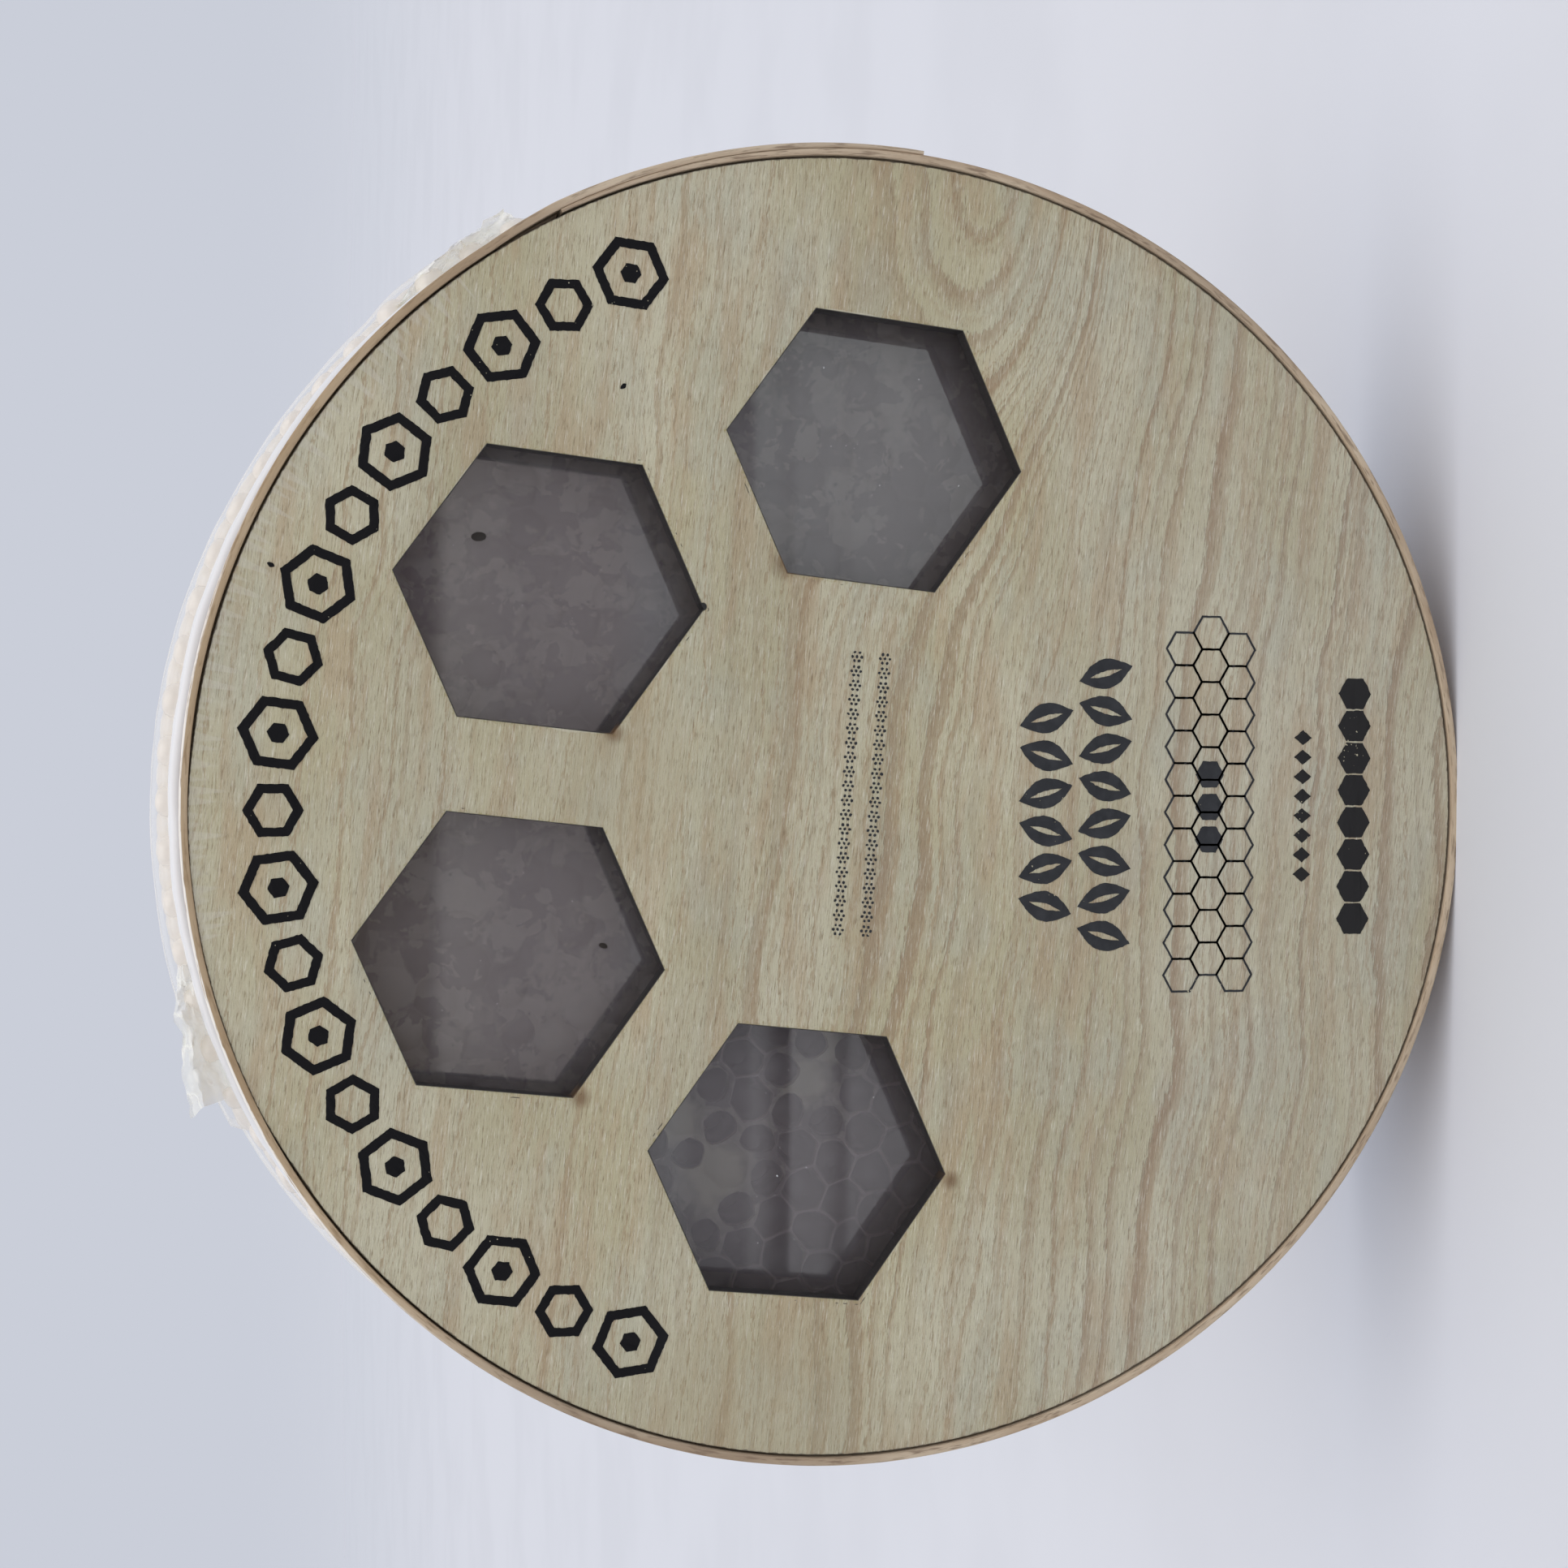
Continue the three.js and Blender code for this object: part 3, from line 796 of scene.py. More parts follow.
def set_stage():
    """A wide white table that fades into the surroundings, and glowing sheets that paint what
    the windows mirror: the table's near side, and a dim room beyond it."""
    stage_sheet("table", [(x, y, 0) for x, y in circle(FLOOR_R, 96)], white_table())
    near, far, wide, top, above = -0.2, -1.47, 1.6, 0.1, 0.002
    stage_sheet("table_mirrored", [(-wide, far, above), (wide, far, above),
                                   (wide, near, above), (-wide, near, above)],
                mirrored_table(), only_gloss=True)
    stage_sheet("room_mirrored", [(-wide, far, 0), (wide, far, 0), (wide, far, top),
                                  (-wide, far, top)],
                mirrored_room(), only_gloss=True)


def set_light():
    """Soft daylight: a pale blue-white sky all round and a hazy sun from above."""
    world = bpy.data.worlds.new("soft daylight")
    world.use_nodes = True
    world.node_tree.nodes.clear()
    add = adder(world.node_tree)
    add("OutputWorld", add("Background", srgb("#CACED9"), 1.0))
    bpy.context.scene.world = world
    sun = bpy.data.lights.new("hazy sun", "SUN")
    sun.energy = 1.2
    sun.angle = math.radians(70)
    sun.color = srgb("#FFFAF3")[:3]
    stand = new_object("hazy sun", sun)
    stand.rotation_euler = (-Vector(SUN_FROM)).to_track_quat("-Z", "Y").to_euler()
    bpy.context.scene.view_settings.view_transform = "Standard"


# ---- Lid ------------------------------------------------------------------------------------


def window_centres():
    """The four windows' centres in the lid's plane."""
    lift_x, lift_y = polar(WINDOW_CIRCLE_LIFT, -BOARD_TURN)
    for place_angle in WINDOW_PLACES:
        turn = math.radians(place_angle + BOARD_TURN)
        yield (lift_x + WINDOW_CIRCLE_R * math.cos(turn),
               lift_y + WINDOW_CIRCLE_R * math.sin(turn))


def lid_board():
    """The lid's board with its four windows. A laser cut them, so their walls are charred and
    their edges waver by a few hundredths."""
    outlines = [[polar(PANEL_R + along(BOARD_SWELL, angle), angle) for angle in range(-180, 180)]]
    for x, y in window_centres():
        rim = finely(hexagon(WINDOW_R, BOARD_TURN, x, y), 0.6)
        outlines.append([(a + 0.05 * wave(a * 1.3, b * 1.3), b + 0.05 * wave(a * 1.3, b * 1.3, 9))
                         for a, b in rim])
    mesh = cut_sheet(outlines, -PANEL_FRONT, -PANEL_BACK, bevel=0.08)
    for face in mesh.polygons:
        face.material_index = int(abs(face.normal.z) < 0.9)
    place("lid_board", mesh, [birch_board(), charred_edge()], "lid_panel")


def veneer_section(inner, outer, front, back, angle, ledge=0.0, ledge_from=8.0):
    """A veneer strip's section with eased, slightly furry edges. Its inside may step in by a
    ledge from some way behind the front."""
    ease = min(0.16, (outer - inner) * 0.3)
    fur = 0.05 * wave(angle * 1.9, 2.0, octaves=4)
    nick = 0.05 * wave(angle * 0.7, 5.0, octaves=4)
    return [(inner - ledge, back), (inner - ledge, front - ledge_from),
            (inner, front - ledge_from), (inner, front - ease),
            (inner + ease * 0.4, front - ease * 0.3 + fur),
            (inner + ease, front + fur), (outer - ease, front + nick),
            (outer - ease * 0.3, front - ease * 0.3 + nick), (outer, front - ease),
            (outer, back + ease), (outer - ease, back), (inner, back)]


def lid_ring(material):
    """One strip of veneer bent into a ring. Its ends are scarfed and lapped on the right, and
    where it rises onto the lap it leaves a dark wedge to the board."""
    rise = [(0, 0), (LAP_START - LAP_WEDGE, 0), (LAP_START - 0.3, LAP_STEP), (360, LAP_STEP)]
    lap = LAP_END - LAP_START
    taper = 0.93  # the outer end thins by this much, so it isn't quite sharp

    def section(angle):
        inner, outer = RING_OUT - RING_WALL, RING_OUT
        share = (angle - LAP_START) / lap
        if share < 1:
            outer = inner + LAP_STEP + (RING_WALL - LAP_STEP) * share - LAP_SEAM
        elif angle > 360:
            start = angle - 360
            inner += along(rise, start)
            outer += along(rise, start)
            if start > LAP_START:
                inner += (RING_WALL - LAP_STEP) * (start - LAP_START) / lap * taper
        wobble = 0.06 * wave(angle * 0.05, 3.0)
        ledge = inner - SIDE_R - 0.03 if angle < 360 + LAP_START - 0.1 else 0.0
        corners = veneer_section(inner, outer, 0, -RING_BACK, angle, ledge, SIDE_FRONT)
        return [flattened(radius + wobble, angle, height) for radius, height in corners]

    def flattened(radius, angle, height):
        upright = math.cos(math.radians(angle))
        return (min(radius, FLAT_Y / upright) if upright < -0.9 else radius), height

    stations = np.arange(LAP_START, LAP_END + 360 + 0.01, 0.5)
    mesh = swept([float(a) for a in stations], section, closed=False)
    place("lid_ring_veneer", cleaned(mesh), [material], "lid_ring", sharp=50)


# ---- Print ----------------------------------------------------------------------------------

INK_THICK = 0.04
INK_STEP = 0.35  # outlines are this fine, so that their edges can waver
RAGGED = 0.32
CELL_NET = 4.3  # pitch of the printed net's cells
BORDER_R = 73.0
BORDER_COUNT = 10
BORDER_PITCH = 7.4  # from a ring to the next small ring, degrees


def marks_tree():
    """Copies of a mark in rows, which may be bent round the lid's centre."""
    tree, add, given = new_tree("Printed marks in rows", [
        ("Mark", "Object"), ("Columns", "Int"), ("Rows", "Int"), ("Column pitch", "Float"),
        ("Row pitch", "Float"), ("Row shift", "Float"), ("Bend radius", "Float"),
        ("Start angle", "Float"), ("Lean", "Float"), ("Ragged", "Float"), ("Ink", "Material")])
    x, y = grid_place(add, given)
    radius = add("Math MAXIMUM", given["Bend radius"], 1.0)
    angle = add("Math ADD", add("Math DIVIDE", x, radius), given["Start angle"])
    level = add("CombineXYZ", 0.0, add("Math ADD", given["Bend radius"], y))
    backwards = add("Math MULTIPLY", angle, -1.0)
    bent = add("VectorRotate", level, inputs={"Angle": backwards}, rotation_type="Z_AXIS")
    is_bent = add("Math GREATER_THAN", given["Bend radius"], 0.0)
    spot = add("Mix", is_bent, add("CombineXYZ", x, y), bent, data_type="VECTOR")
    count = add("Math MULTIPLY", given["Columns"], given["Rows"])
    points = add("GeometryNodePoints", count, spot)
    side = add("Math FLOORED_MODULO", add("GeometryNodeInputIndex"), 2.0)
    side = add("Math MULTIPLY_ADD", side, 2.0, -1.0)
    turn = add("Math MULTIPLY_ADD", side, given["Lean"],
               add("Math MULTIPLY", backwards, is_bent))
    shape = add("GeometryNodeObjectInfo", inputs={"Object": given["Mark"]})
    copies = add("GeometryNodeInstanceOnPoints", points, inputs={
        "Instance": shape.outputs["Geometry"],
        "Rotation": add("CombineXYZ", 0.0, 0.0, turn)})
    finish_tree(add, copies, given["Ink"], 1.7,
                add("CombineXYZ", given["Ragged"], given["Ragged"]))
    return tree


def mark(*outlines):
    """A flat printed mark, ready to be copied."""
    return pattern(cut_sheet([finely(outline, INK_STEP) for outline in outlines], INK_THICK, 0))


def leaf(length, width):
    """A pointed oval outline, standing up."""
    count = 14
    right = [(width / 2 * math.sin(math.pi * k / count), length * (k / count - 0.5))
             for k in range(count + 1)]
    return right + [(-x, y) for x, y in reversed(right[1:-1])]


def print_ink(ink):
    """The printing, as generic ornament: a border of hexagons round the top, dotted lines, two
    bands of leaves, a honeycomb net, rows of filled hexagons and lozenges, and two stray
    specks."""
    tree = marks_tree()
    net_r = CELL_NET / math.sqrt(3)
    ring = mark(hexagon(4.9), hexagon(3.55), hexagon(1.35))
    small_ring = mark(hexagon(3.7), hexagon(2.4))
    leaf_mark = mark(leaf(7.6, 3.9), leaf(4.6, 0.7))
    cell = mark(hexagon(net_r + 0.16), hexagon(net_r - 0.16))
    full_cell = mark(hexagon(net_r - 0.5))
    dots = mark(*[circle(0.2, 6, *spot) for spot in [(0, 0)] + hexagon(0.62)])
    lozenge = mark([(0, -1.25), (1.0, 0), (0, 1.25), (-1.0, 0)])
    seed = mark(hexagon(2.35))
    speck = mark(leaf(1.0, 0.6))

    def row(name, source, columns, pitch, at=(0, 0), turn=0.0, rows=1, row_pitch=0.0,
            shift=0.0, bend=0.0, start=0.0, lean=0.0, ragged=RAGGED):
        mesh = grow(tree, mark=source, columns=columns, rows=rows, column_pitch=pitch,
                    row_pitch=row_pitch, row_shift=shift, bend_radius=bend,
                    start_angle=math.radians(start), lean=math.radians(lean), ragged=ragged,
                    ink=ink)
        mesh.transform(Matrix.Translation((*at, 0.01 - PANEL_FRONT))
                       @ Matrix.Rotation(math.radians(turn), 4, "Z"))
        place("ink_" + name, mesh, [ink], sharp=80)

    step = 2 * math.radians(BORDER_PITCH) * BORDER_R
    row("border_rings", ring, BORDER_COUNT, step, bend=BORDER_R, start=-0.5)
    row("border_small_rings", small_ring, BORDER_COUNT - 1, step, bend=BORDER_R, start=-0.5)
    row("dotted_line", dots, 20, 1.84, at=(1.8, -0.9), turn=-3.6, rows=2, row_pitch=3.7)
    row("leaves_upper", leaf_mark, 6, 4.9, at=(-0.4, -25.7), lean=16)
    row("leaves_lower", leaf_mark, 8, 4.9, at=(0.6, -33.8), lean=16)
    row("net", cell, 11, CELL_NET, at=(-0.3, -48.4), rows=3, row_pitch=net_r * 1.5,
        shift=CELL_NET / 2, ragged=0.16)
    row("net_full", full_cell, 3, CELL_NET, at=(0.4, -48.4))
    row("lozenges", lozenge, 8, 2.6, at=(0.6, -61.6))
    row("seeds", seed, 8, 4.3, at=(0.6, -69.0))
    row("speck_above", speck, 1, 1, at=(29.2, 73.5), turn=-30, ragged=0.25)
    row("speck_right", speck, 1, 1, at=(52.6, 30.4), turn=40, ragged=0.25)
    remove_patterns()


# ---- Comb -----------------------------------------------------------------------------------


def comb_cell(rings):
    """One cell, made of rings. Each ring is (share of the cell's radius, how round, height,
    bare wax)."""
    count = 12
    points, wax = [], []
    for share, roundness, height, bare in rings:
        for k in range(count):
            angle = math.radians(30 * k + 30)
            hexagonal = 1.0 if k % 2 == 0 else math.cos(math.radians(30))
            radius = CELL_PITCH / math.sqrt(3) * share * (
                hexagonal * (1 - roundness) + 0.92 * roundness)
            points.append((radius * math.cos(angle), radius * math.sin(angle), height))
            wax.append(bare)
    points.append((0, 0, rings[-1][2]))
    wax.append(rings[-1][3])
    mesh = mesh_of(points, ring_faces(0, count, len(rings)))
    note_on(mesh, "wax", "FLOAT", wax)
    return pattern(mesh)


def comb_tree():
    """Rows of comb cells: open ones in a round zone, with round mouths where fresh wax
    surrounds them, capped ones elsewhere, and all of them uneven."""
    tree, add, given = new_tree("Comb cells", [
        ("Capped", "Object"), ("Open", "Object"), ("Round", "Object"), ("Columns", "Int"),
        ("Rows", "Int"), ("Column pitch", "Float"), ("Row pitch", "Float"),
        ("Row shift", "Float"), ("Reach", "Float"), ("Zone", "Vector"),
        ("Zone radius", "Float"), ("Uneven", "Vector"), ("Seed", "Int"), ("Wax", "Material")])
    spot = add("CombineXYZ", *grid_place(add, given))
    count = add("Math MULTIPLY", given["Columns"], given["Rows"])
    points = add("GeometryNodePoints", count, spot)
    here = add("GeometryNodeInputPosition")
    beyond = add("FunctionNodeCompare GREATER_THAN", add("VectorMath LENGTH", here),
                 given["Reach"])
    points = add("GeometryNodeDeleteGeometry", points, beyond)
    is_open = add("Math LESS_THAN", add("VectorMath DISTANCE", here, given["Zone"]),
                  given["Zone radius"])
    near = []
    for x, y, size in WAX_PATCHES:
        away = add("VectorMath DISTANCE", here, unturned(x, y))
        is_open = add("Math MULTIPLY", is_open, add("Math GREATER_THAN", away, size * 0.75))
        near.append(add("Math LESS_THAN", away, size + CELL_PITCH * 0.7))
    is_round = reduce(lambda one, other: add("Math MAXIMUM", one, other), near)
    is_round = add("Math MULTIPLY", is_round, is_open)
    is_sharp = add("Math SUBTRACT", is_open, is_round)
    is_capped = add("Math SUBTRACT", 1.0, is_open)
    sixth = add("FunctionNodeRandomValue", 0, 5, inputs={"Seed": given["Seed"]},
                data_type="INT")
    turn = add("CombineXYZ", 0.0, 0.0, add("Math MULTIPLY", sixth, math.pi / 3))
    crown = add("FunctionNodeRandomValue", 1 - CAP_UNEVEN / CAP_RISE, 1 + CAP_UNEVEN / CAP_RISE,
                inputs={"Seed": given["Seed"]})
    crown = add("CombineXYZ", 1.0, 1.0, crown)
    cells = add("GeometryNodeJoinGeometry")
    for kind, chosen in (("Open", is_sharp), ("Round", is_round), ("Capped", is_capped)):
        cell = add("GeometryNodeObjectInfo", inputs={"Object": given[kind]}).outputs["Geometry"]
        copies = add("GeometryNodeInstanceOnPoints", points, chosen, cell, inputs={
            "Rotation": turn, "Scale": crown})
        tree.links.new(copies.outputs[0], cells.inputs[0])
    tone = add("FunctionNodeRandomValue", 0.0, 1.0, inputs={"Seed": 5})
    toned = add("GeometryNodeStoreNamedAttribute", cells, inputs={"Name": "tone", "Value": tone},
                domain="INSTANCE", data_type="FLOAT")
    finish_tree(add, toned, given["Wax"], 0.2, given["Uneven"], merge=0.02)
    return tree


def unturned(x, y):
    """A place in the lid's plane as the comb's rows see it."""
    turn = -math.radians(CELL_TURN)
    return (x * math.cos(turn) - y * math.sin(turn), x * math.sin(turn) + y * math.cos(turn), 0)


def comb(wax):
    """The slab of comb: its front is all cells, and it is cut round to fit the box."""
    capped = comb_cell([(1, 0, 0, 0), (0.9, 0.7, 0.1, -0.5), (0.8, 0.9, 0.2, -1),
                        (0.5, 1, 0.4, -1), (0.25, 1, CAP_RISE, -1)])
    sharp = comb_cell([(1, 0, 0, 1), (0.95, 0.1, 0, 1), (0.92, 0.3, -0.3, 0.2),
                       (0.87, 0.6, -CELL_DEPTH * 0.6, 0), (0.5, 1, -CELL_DEPTH, 0)])
    round_mouth = comb_cell([(1, 0, 0, 0), (0.8, 1, 0.08, 0.3), (0.78, 1, -0.25, 0),
                             (0.8, 1, -CELL_DEPTH * 0.6, 0), (0.5, 1, -CELL_DEPTH, 0)])
    rows = math.ceil(COMB_R / CELL_PITCH * 2 / math.sqrt(3)) * 2 + 3
    mesh = grow(comb_tree(), capped=capped, open=sharp, round=round_mouth, columns=rows,
                rows=rows, column_pitch=CELL_PITCH, row_pitch=CELL_PITCH * math.sqrt(3) / 2,
                row_shift=CELL_PITCH / 2, reach=COMB_R + CELL_PITCH, zone=unturned(*OPEN_ZONE),
                zone_radius=OPEN_ZONE_R, uneven=(2.8, 2.8, 0.5), seed=4, wax=wax)
    remove_patterns()
    front = -COMB_FRONT - CAP_RISE - CAP_UNEVEN
    mesh.transform(Matrix.Translation((0, 0, front))
                   @ Matrix.Rotation(math.radians(CELL_TURN), 4, "Z"))
    spare = 3  # the sheet of cells reaches this far past the slab before the cut
    close_behind(mesh, -COMB_BACK - spare)
    slab = cut_sheet([circle(COMB_R, 180)], front + spare, -COMB_BACK)
    place("comb_cells", cut_to(mesh, slab), [wax], "honeycomb", sharp=70)


def close_behind(mesh, height):
    """Drops the open edge of a sheet straight back to a height and fills it in."""
    with edited(mesh) as work:
        rim = [edge for edge in work.edges if edge.is_boundary]
        for item in bmesh.ops.extrude_edge_only(work, edges=rim)["geom"]:
            if isinstance(item, bmesh.types.BMVert):
                item.co.z = height
        back = [edge for edge in work.edges if edge.is_boundary]
        bmesh.ops.triangle_fill(work, edges=back, use_beauty=True)
        bmesh.ops.recalc_face_normals(work, faces=work.faces)


def cut_to(mesh, shape):
    """What two closed meshes share."""
    piece = new_object("cut", mesh)
    modifier = piece.modifiers.new("cut", "BOOLEAN")
    modifier.operation = "INTERSECT"
    modifier.solver = "MANIFOLD"
    modifier.object = pattern(shape)
    result = evaluated(piece, modifier)
    remove_patterns()
    return result


# ---- Box ------------------------------------------------------------------------------------


def box_side(material):
    """The box's own side: one veneer wall inside the lid's ring."""
    mesh = swept([float(a) for a in range(0, 360, 2)], lambda angle: veneer_section(
        SIDE_R - SIDE_WALL, SIDE_R, -SIDE_FRONT, -SIDE_BACK, angle), closed=True)
    place("box_side_veneer", cleaned(mesh), [material], "box_side", sharp=50)


def base_board():
    mesh = cut_sheet([circle(BASE_R, 240)], -BASE_FRONT, -BASE_BACK, bevel=0.25)
    place("base_plywood", mesh, [raw_plywood()], "base_board", sharp=50)


# ---- Bubble wrap ----------------------------------------------------------------------------

BUBBLE_R = 2.75
BUBBLE_HEIGHT = 1.7
BUBBLE_COLUMN = 6.4  # along the wrap
BUBBLE_ROWS = 3
PINCH = 0.76  # the front row's bubbles are pinched this much narrower
STRIP_RISE = 1.35  # the flat inner film and its edge stand this far off the ring's radius
BUBBLE_MARGIN = 0.4  # the bubbles keep this far from the film's edges
FILM_STEPS = 480  # corners of a film round the box
LEAF_THICK = 0.07
LEAVES = (  # the loose ends' leaves: start, end, rise at each, depth and seed
    (-25.9, -14, 7.0, 1.9, 18.0, 1), (-25.6, -16, 6.4, 1.7, 22.5, 3),
    (48, 61, 1.6, 4.2, 18.5, 6), (51, 62, 2.6, 4.2, 24.0, 9),
)


def wrap_reach(angle):
    """How far the wrap's outer film stands beyond the ring's radius, at degrees from the top."""
    return along(WRAP_PROFILE, (angle + 180) % 360 - 180)


def strip_reach(angle):
    """The same for the flat inner film."""
    return min(STRIP_RISE, wrap_reach(angle) * 0.6)


def above_floor(radius, angle, thinnest=0.0):
    """A radius kept above the floor by at least this much."""
    upright = math.cos(math.radians(angle))
    return min(radius, FLAT_Y / upright - 0.02 - thinnest) if upright < -0.5 else radius


def film_sleeve(inside, outside, front, back, crumple, seed):
    """A closed pillow of film round the side, rounded at its front and back. inside(angle) and
    outside(angle) are its radii, and it is crumpled by this many millimetres."""
    def section(angle):
        low, high = above_floor(inside(angle), angle, 0.3), above_floor(outside(angle), angle)
        middle, half = (low + high) / 2, (high - low) / 2
        bulge = min(1.1, half)
        x, y = polar(12, angle)
        outline = []
        for k in range(7):  # the front, from the inside out
            turn = math.pi * k / 6
            outline.append((middle - half * math.cos(turn), front - bulge * (1 - math.sin(turn))))
        outline += [(high, front + (back - front) * s) for s in (0.25, 0.5, 0.75)]
        outline += [(high, back + bulge), (middle, back), (low, back + bulge)]
        outline += [(low, front + (back - front) * s) for s in (0.66, 0.33)]
        crushed = []
        for radius, height in outline:
            fold = wave(x + seed, y, height * 0.35 + radius * 0.3, 2)
            slide = wave(x - seed, y + 7, height * 0.35, 2)
            share = min(1.0, half) * crumple
            swell = 1 - abs(radius - middle) / (2 * half)
            crushed.append((above_floor(radius + share * fold, angle, 0.2 * swell),
                            height + share * slide * 0.7))
        return crushed

    return cleaned(swept([360 / FILM_STEPS * k for k in range(FILM_STEPS)], section, True))


def bubble_tree():
    """Bubbles standing on the film, one on each point, sized by how far the wrap stands out."""
    tree, add, given = new_tree("Bubbles on film", [
        ("Film", "Geometry"), ("Bubble", "Object"), ("Smallest", "Float"), ("Largest", "Float"),
        ("Pinch", "Float"), ("Uneven", "Vector"), ("Seed", "Int"), ("Plastic", "Material")])
    out = add("GeometryNodeInputNamedAttribute", "out", data_type="FLOAT_VECTOR")
    rise = add("GeometryNodeInputNamedAttribute", "rise", data_type="FLOAT")
    align = add("FunctionNodeAlignRotationToVector", inputs={"Vector": out}, axis="Z")
    size = add("FunctionNodeRandomValue", given["Smallest"], given["Largest"],
               inputs={"Seed": given["Seed"]})
    width = add("Math MULTIPLY", size, given["Pinch"])
    height = add("Math MULTIPLY", size, rise)
    shape = add("GeometryNodeObjectInfo", inputs={"Object": given["Bubble"]})
    copies = add("GeometryNodeInstanceOnPoints", given["Film"], inputs={
        "Instance": shape.outputs["Geometry"], "Rotation": align,
        "Scale": add("CombineXYZ", width, width, height)})
    finish_tree(add, copies, given["Plastic"], 0.3, given["Uneven"])
    return tree


def bubble_dome():
    """One bubble: a low pillow with a flat back."""
    count = 14
    rings = [(1.0, 0.0), (1.02, 0.3), (0.9, 0.66), (0.66, 0.88), (0.33, 0.98)]
    points = [(0, 0, 0)]
    for share, height in rings:
        points += [(x, y, height * BUBBLE_HEIGHT) for x, y in circle(BUBBLE_R * share, count)]
    points.append((0, 0, BUBBLE_HEIGHT))
    back = [(0, 1 + (k + 1) % count, 1 + k) for k in range(count)]
    return pattern(cleaned(mesh_of(points, back + ring_faces(1, count, len(rings)))))


def bubble_points(rows):
    """Where these rows of bubbles stand on the film, staggered, each with its way out and how
    far it can rise under the outer film."""
    columns = round(2 * math.pi * RING_OUT / BUBBLE_COLUMN)
    points, ways, rises = [], [], []
    edge = BUBBLE_R + BUBBLE_MARGIN
    row_pitch = (WRAP_BACK - WRAP_FRONT - 2 * edge) / (BUBBLE_ROWS - 1)
    for row in rows:
        height = -WRAP_FRONT - edge - row * row_pitch
        for column in range(columns):
            angle = 360 * (column + (row % 2) / 2) / columns
            foot = strip_reach(angle) * 0.85
            rise = wrap_reach(angle) - foot
            if rise < 0.4 or math.cos(math.radians(angle)) < -0.955:
                continue
            points.append((*polar(RING_OUT + foot, angle), height))
            ways += [*polar(1, angle), 0.0]
            rises.append(min(1.15, rise / BUBBLE_HEIGHT))
    mesh = mesh_of(points, [])
    note_on(mesh, "out", "FLOAT_VECTOR", ways)
    note_on(mesh, "rise", "FLOAT", rises)
    return mesh


def film_leaf(start, end, rise_start, rise_end, depth, seed):
    """A crumpled leaf of loose film, standing out between two angles."""
    columns, rows = 22, 12
    points, faces = [], []
    for side in (0, 1):
        for i in range(columns + 1):
            across = i / columns
            angle = start + (end - start) * across
            rise = (rise_start + (rise_end - rise_start) * across) * (
                1 + 0.3 * wave(across * 5, seed, 1, 4))
            for j in range(rows + 1):
                share = j / rows
                fold = wave(across * 4 + seed, share * 2.5, seed, 2)
                slip = wave(across * 4, share * 3 + seed, 5, 2)
                radius = RING_OUT + 0.7 + rise * share
                points.append((*polar(radius + 0.5 * slip * share, angle + 0.7 * fold * share),
                               -depth - LEAF_THICK * side + 2.6 * fold * (0.3 + share)))
    stride = rows + 1
    size = (columns + 1) * stride
    for i in range(columns):
        for j in range(rows):
            a = i * stride + j
            faces.append((a, a + stride, a + stride + 1, a + 1))
            faces.append((a + size, a + 1 + size, a + stride + 1 + size, a + stride + size))
    rim = [i * stride for i in range(columns + 1)]
    rim += [columns * stride + j for j in range(1, rows + 1)]
    rim += [i * stride + rows for i in range(columns - 1, -1, -1)]
    rim += [j for j in range(rows - 1, 0, -1)]
    for a, b in zip(rim, rim[1:] + rim[:1]):
        faces.append((a, a + size, b + size, b))
    return cleaned(mesh_of(points, faces))


def bubble_wrap():
    """Bubble wrap wound round the side: a flat inner film, the bubbles, an outer film over
    them, and two crumpled loose ends."""
    def place_film(name, mesh, film, sharp=60):
        place(name, mesh, [film], "bubble_wrap", sharp)

    strip = film_sleeve(lambda angle: SIDE_R + 0.05,
                        lambda angle: RING_OUT + strip_reach(angle),
                        -WRAP_FRONT, -WRAP_BACK, 0.2, 4.0)
    place_film("wrap_inner_film", strip,
               thin_film("polythene film, doubled and milky", 0.98, "#F9F9F9", 0.1))
    film = thin_film("polythene bubble film", 0.66, "#FFF9F0", 0.3)
    for name, rows, pinch in (("wrap_bubbles_front", (0,), PINCH),
                              ("wrap_bubbles_behind", (1, 2), 1.0)):
        mesh = grow(bubble_tree(), bubble_points(rows), bubble=bubble_dome(), smallest=0.88,
                    largest=1.06, pinch=pinch, uneven=(0.5, 0.5, 0.5), seed=8, plastic=film)
        place_film(name, mesh, film)
    remove_patterns()
    outer = film_sleeve(lambda angle: RING_OUT + strip_reach(angle) - 0.2,
                        lambda angle: RING_OUT + min(wrap_reach(angle) + 0.5, 3.9),
                        -WRAP_FRONT - 4.5, -WRAP_BACK, 0.14, 11.0)
    place_film("wrap_outer_film", outer, thin_film("polythene film, loose", 0.16, "#FFFFFC"))
    place_film("wrap_loose_ends", joined(*[film_leaf(*leaf) for leaf in LEAVES]),
               thin_film("polythene film, crumpled", 0.34, "#FFFFFA", 0.3, creases=0.55),
               sharp=50)


# ---- Dust -----------------------------------------------------------------------------------

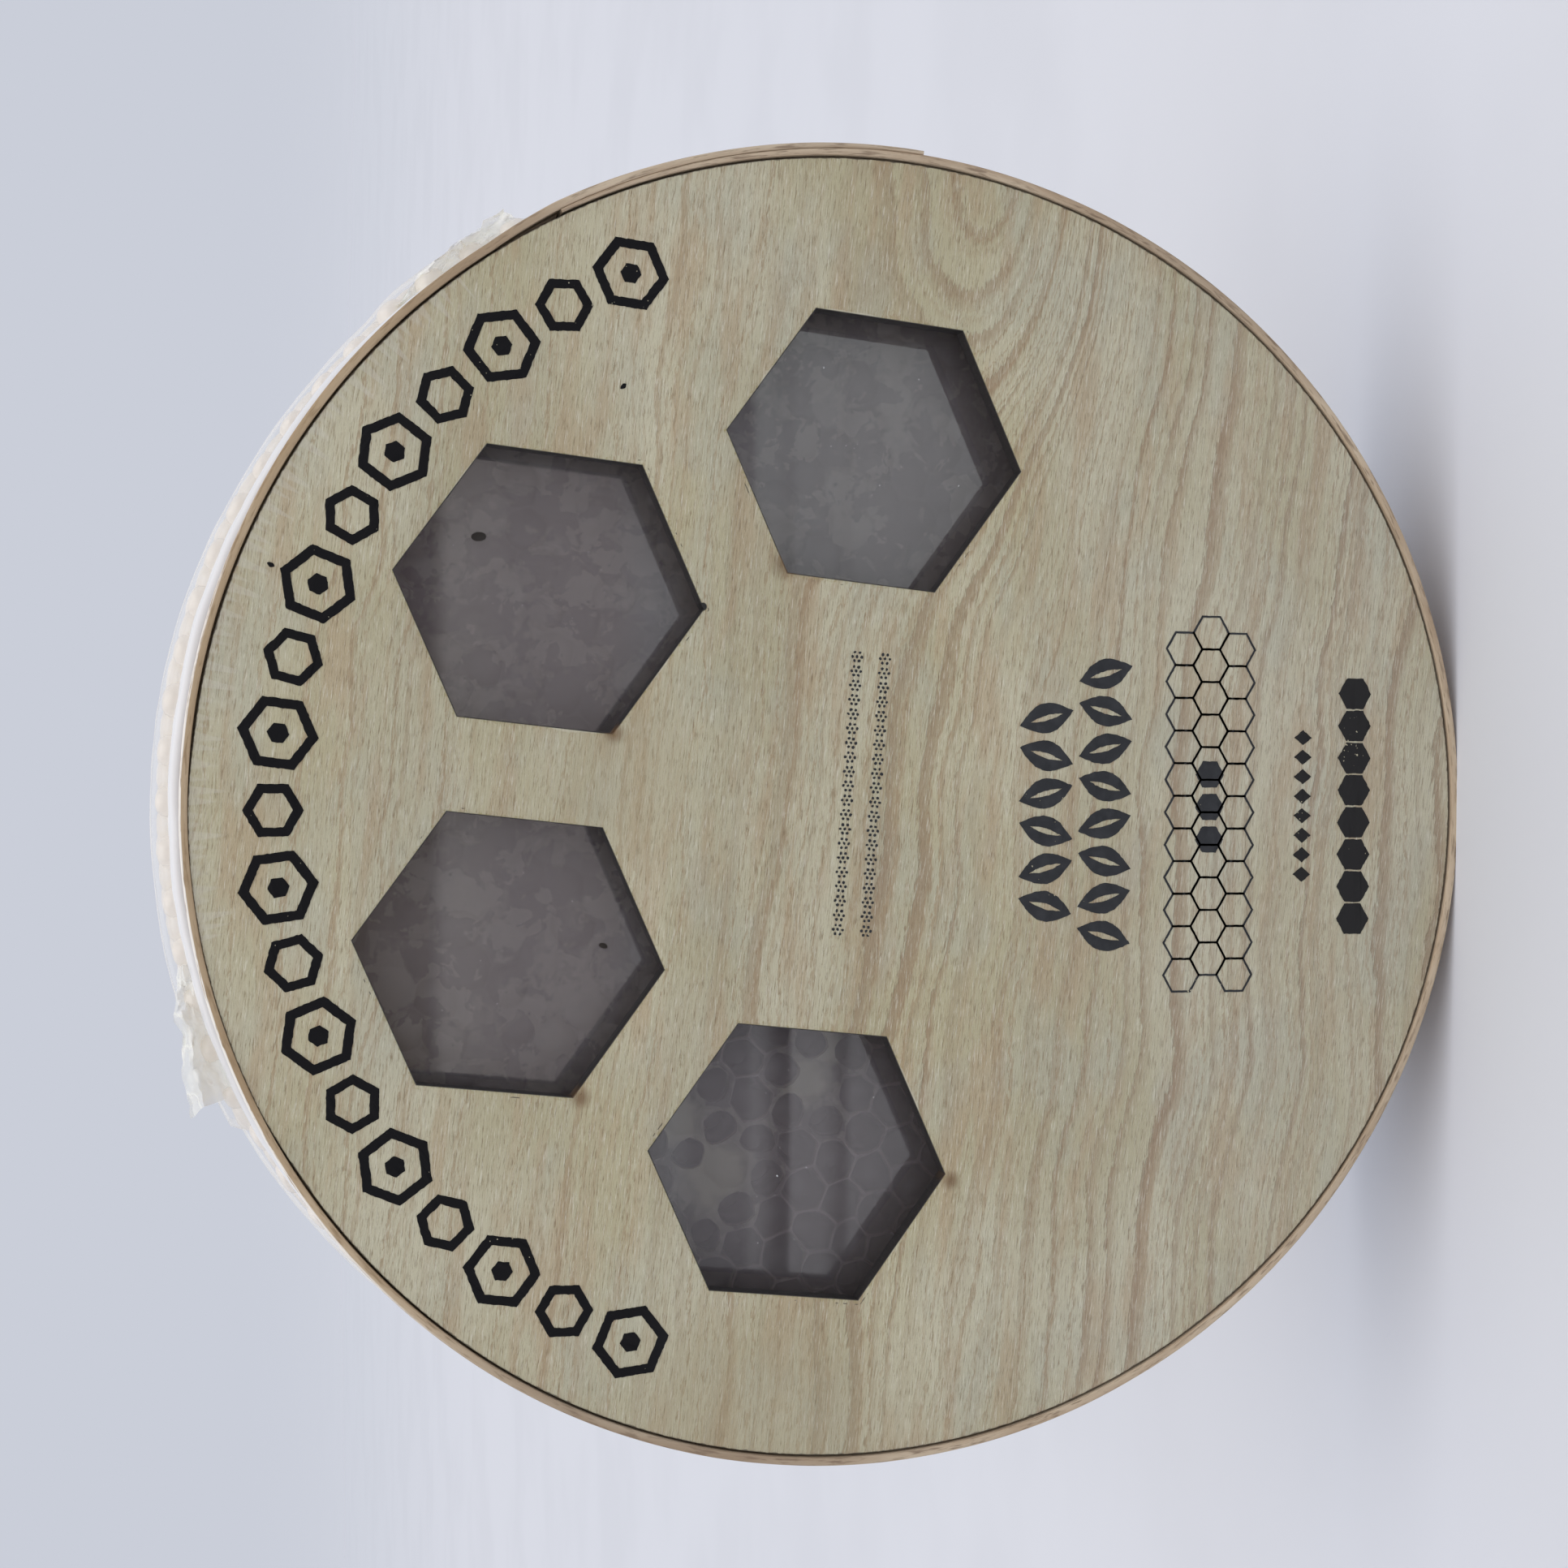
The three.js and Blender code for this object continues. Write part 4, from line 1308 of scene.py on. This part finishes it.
SPECKS = (  # dust that shows on the cover: x, y and width
    (57.3, 2.6, 0.32), (-47.2, 3.9, 0.2), (-48.2, 7.8, 0.3), (-56.9, 10.3, 0.2),
    (-38.2, -5.1, 0.2), (56.3, -10.3, 0.2), (42.5, -15.9, 0.26), (42.2, -5.1, 0.2),
)
FINE_SPECKS = 34
POLLEN = ((34.0, 47.4, 1.0, 94), (-18.0, 31.0, 0.6, 70))  # flecks: x, y, radius and lean


def on_cover(name, spots, look, colour, roughness, thick):
    """Small flat blobs that lie on the clear cover, each of them a little longer than wide."""
    material, add = new_material(look)
    surface(add, srgb(colour), roughness, 1.5)
    shapes = []
    for x, y, size, lean in spots:
        lean = math.radians(lean)
        outline = [(x + a * math.cos(lean) - b * math.sin(lean) * 0.6,
                    y + a * math.sin(lean) + b * math.cos(lean) * 0.6)
                   for a, b in circle(size, 10)]
        shapes.append(cut_sheet([outline], thick - COVER_FRONT, -COVER_FRONT, thick * 0.4))
    place(name, joined(*shapes), [material])


def dust():
    """White dust and dark flecks of pollen on the clear cover."""
    spots = [(x, y, size / 2, 170 * wave(x, y, 3)) for x, y, size in SPECKS]
    windows = list(window_centres())
    for k in range(FINE_SPECKS):
        x, y = windows[k % len(windows)]
        a, b = polar(15 * abs(wave(k * 3.7, 1.0, 8.0)) ** 0.5, 137.5 * k)
        spots.append((x + a, y + b, 0.045 + 0.05 * abs(wave(k * 2.3, 4.0)), 63 * k))
    on_cover("dust_on_cover", spots, "white dust", "#E4E4E2", 0.9, 0.03)
    on_cover("pollen_flecks", POLLEN, "dark pollen", "#30261D", 0.6, 0.04)


# ---- The box of comb ------------------------------------------------------------------------

bpy.context.scene.cycles.transparent_max_bounces = 32  # light passes many layers of wrap
bpy.context.scene.cycles.max_bounces = 24
bpy.context.scene.cycles.diffuse_bounces = 16
set_camera()
set_stage()
set_light()

lid_board()
# The ring's last colour is the pale painted highlight on its front outer edge.
lid_ring(bent_veneer("raw bent veneer, tan edge", "#D3C0A4", "#B79F82", "#7C6650", "#B59566",
                     "#FFF8EC"))
print_ink(screen_ink())

cover = frame["nodes"]["clear_cover"]
cover.data.materials.clear()
cover.data.materials.append(clear_cover())

comb(wet_comb())
box_side(bent_veneer("raw bent veneer, pale side", "#DCC6A2", "#C9AC80", "#A5845A"))
base_board()
bubble_wrap()
dust()
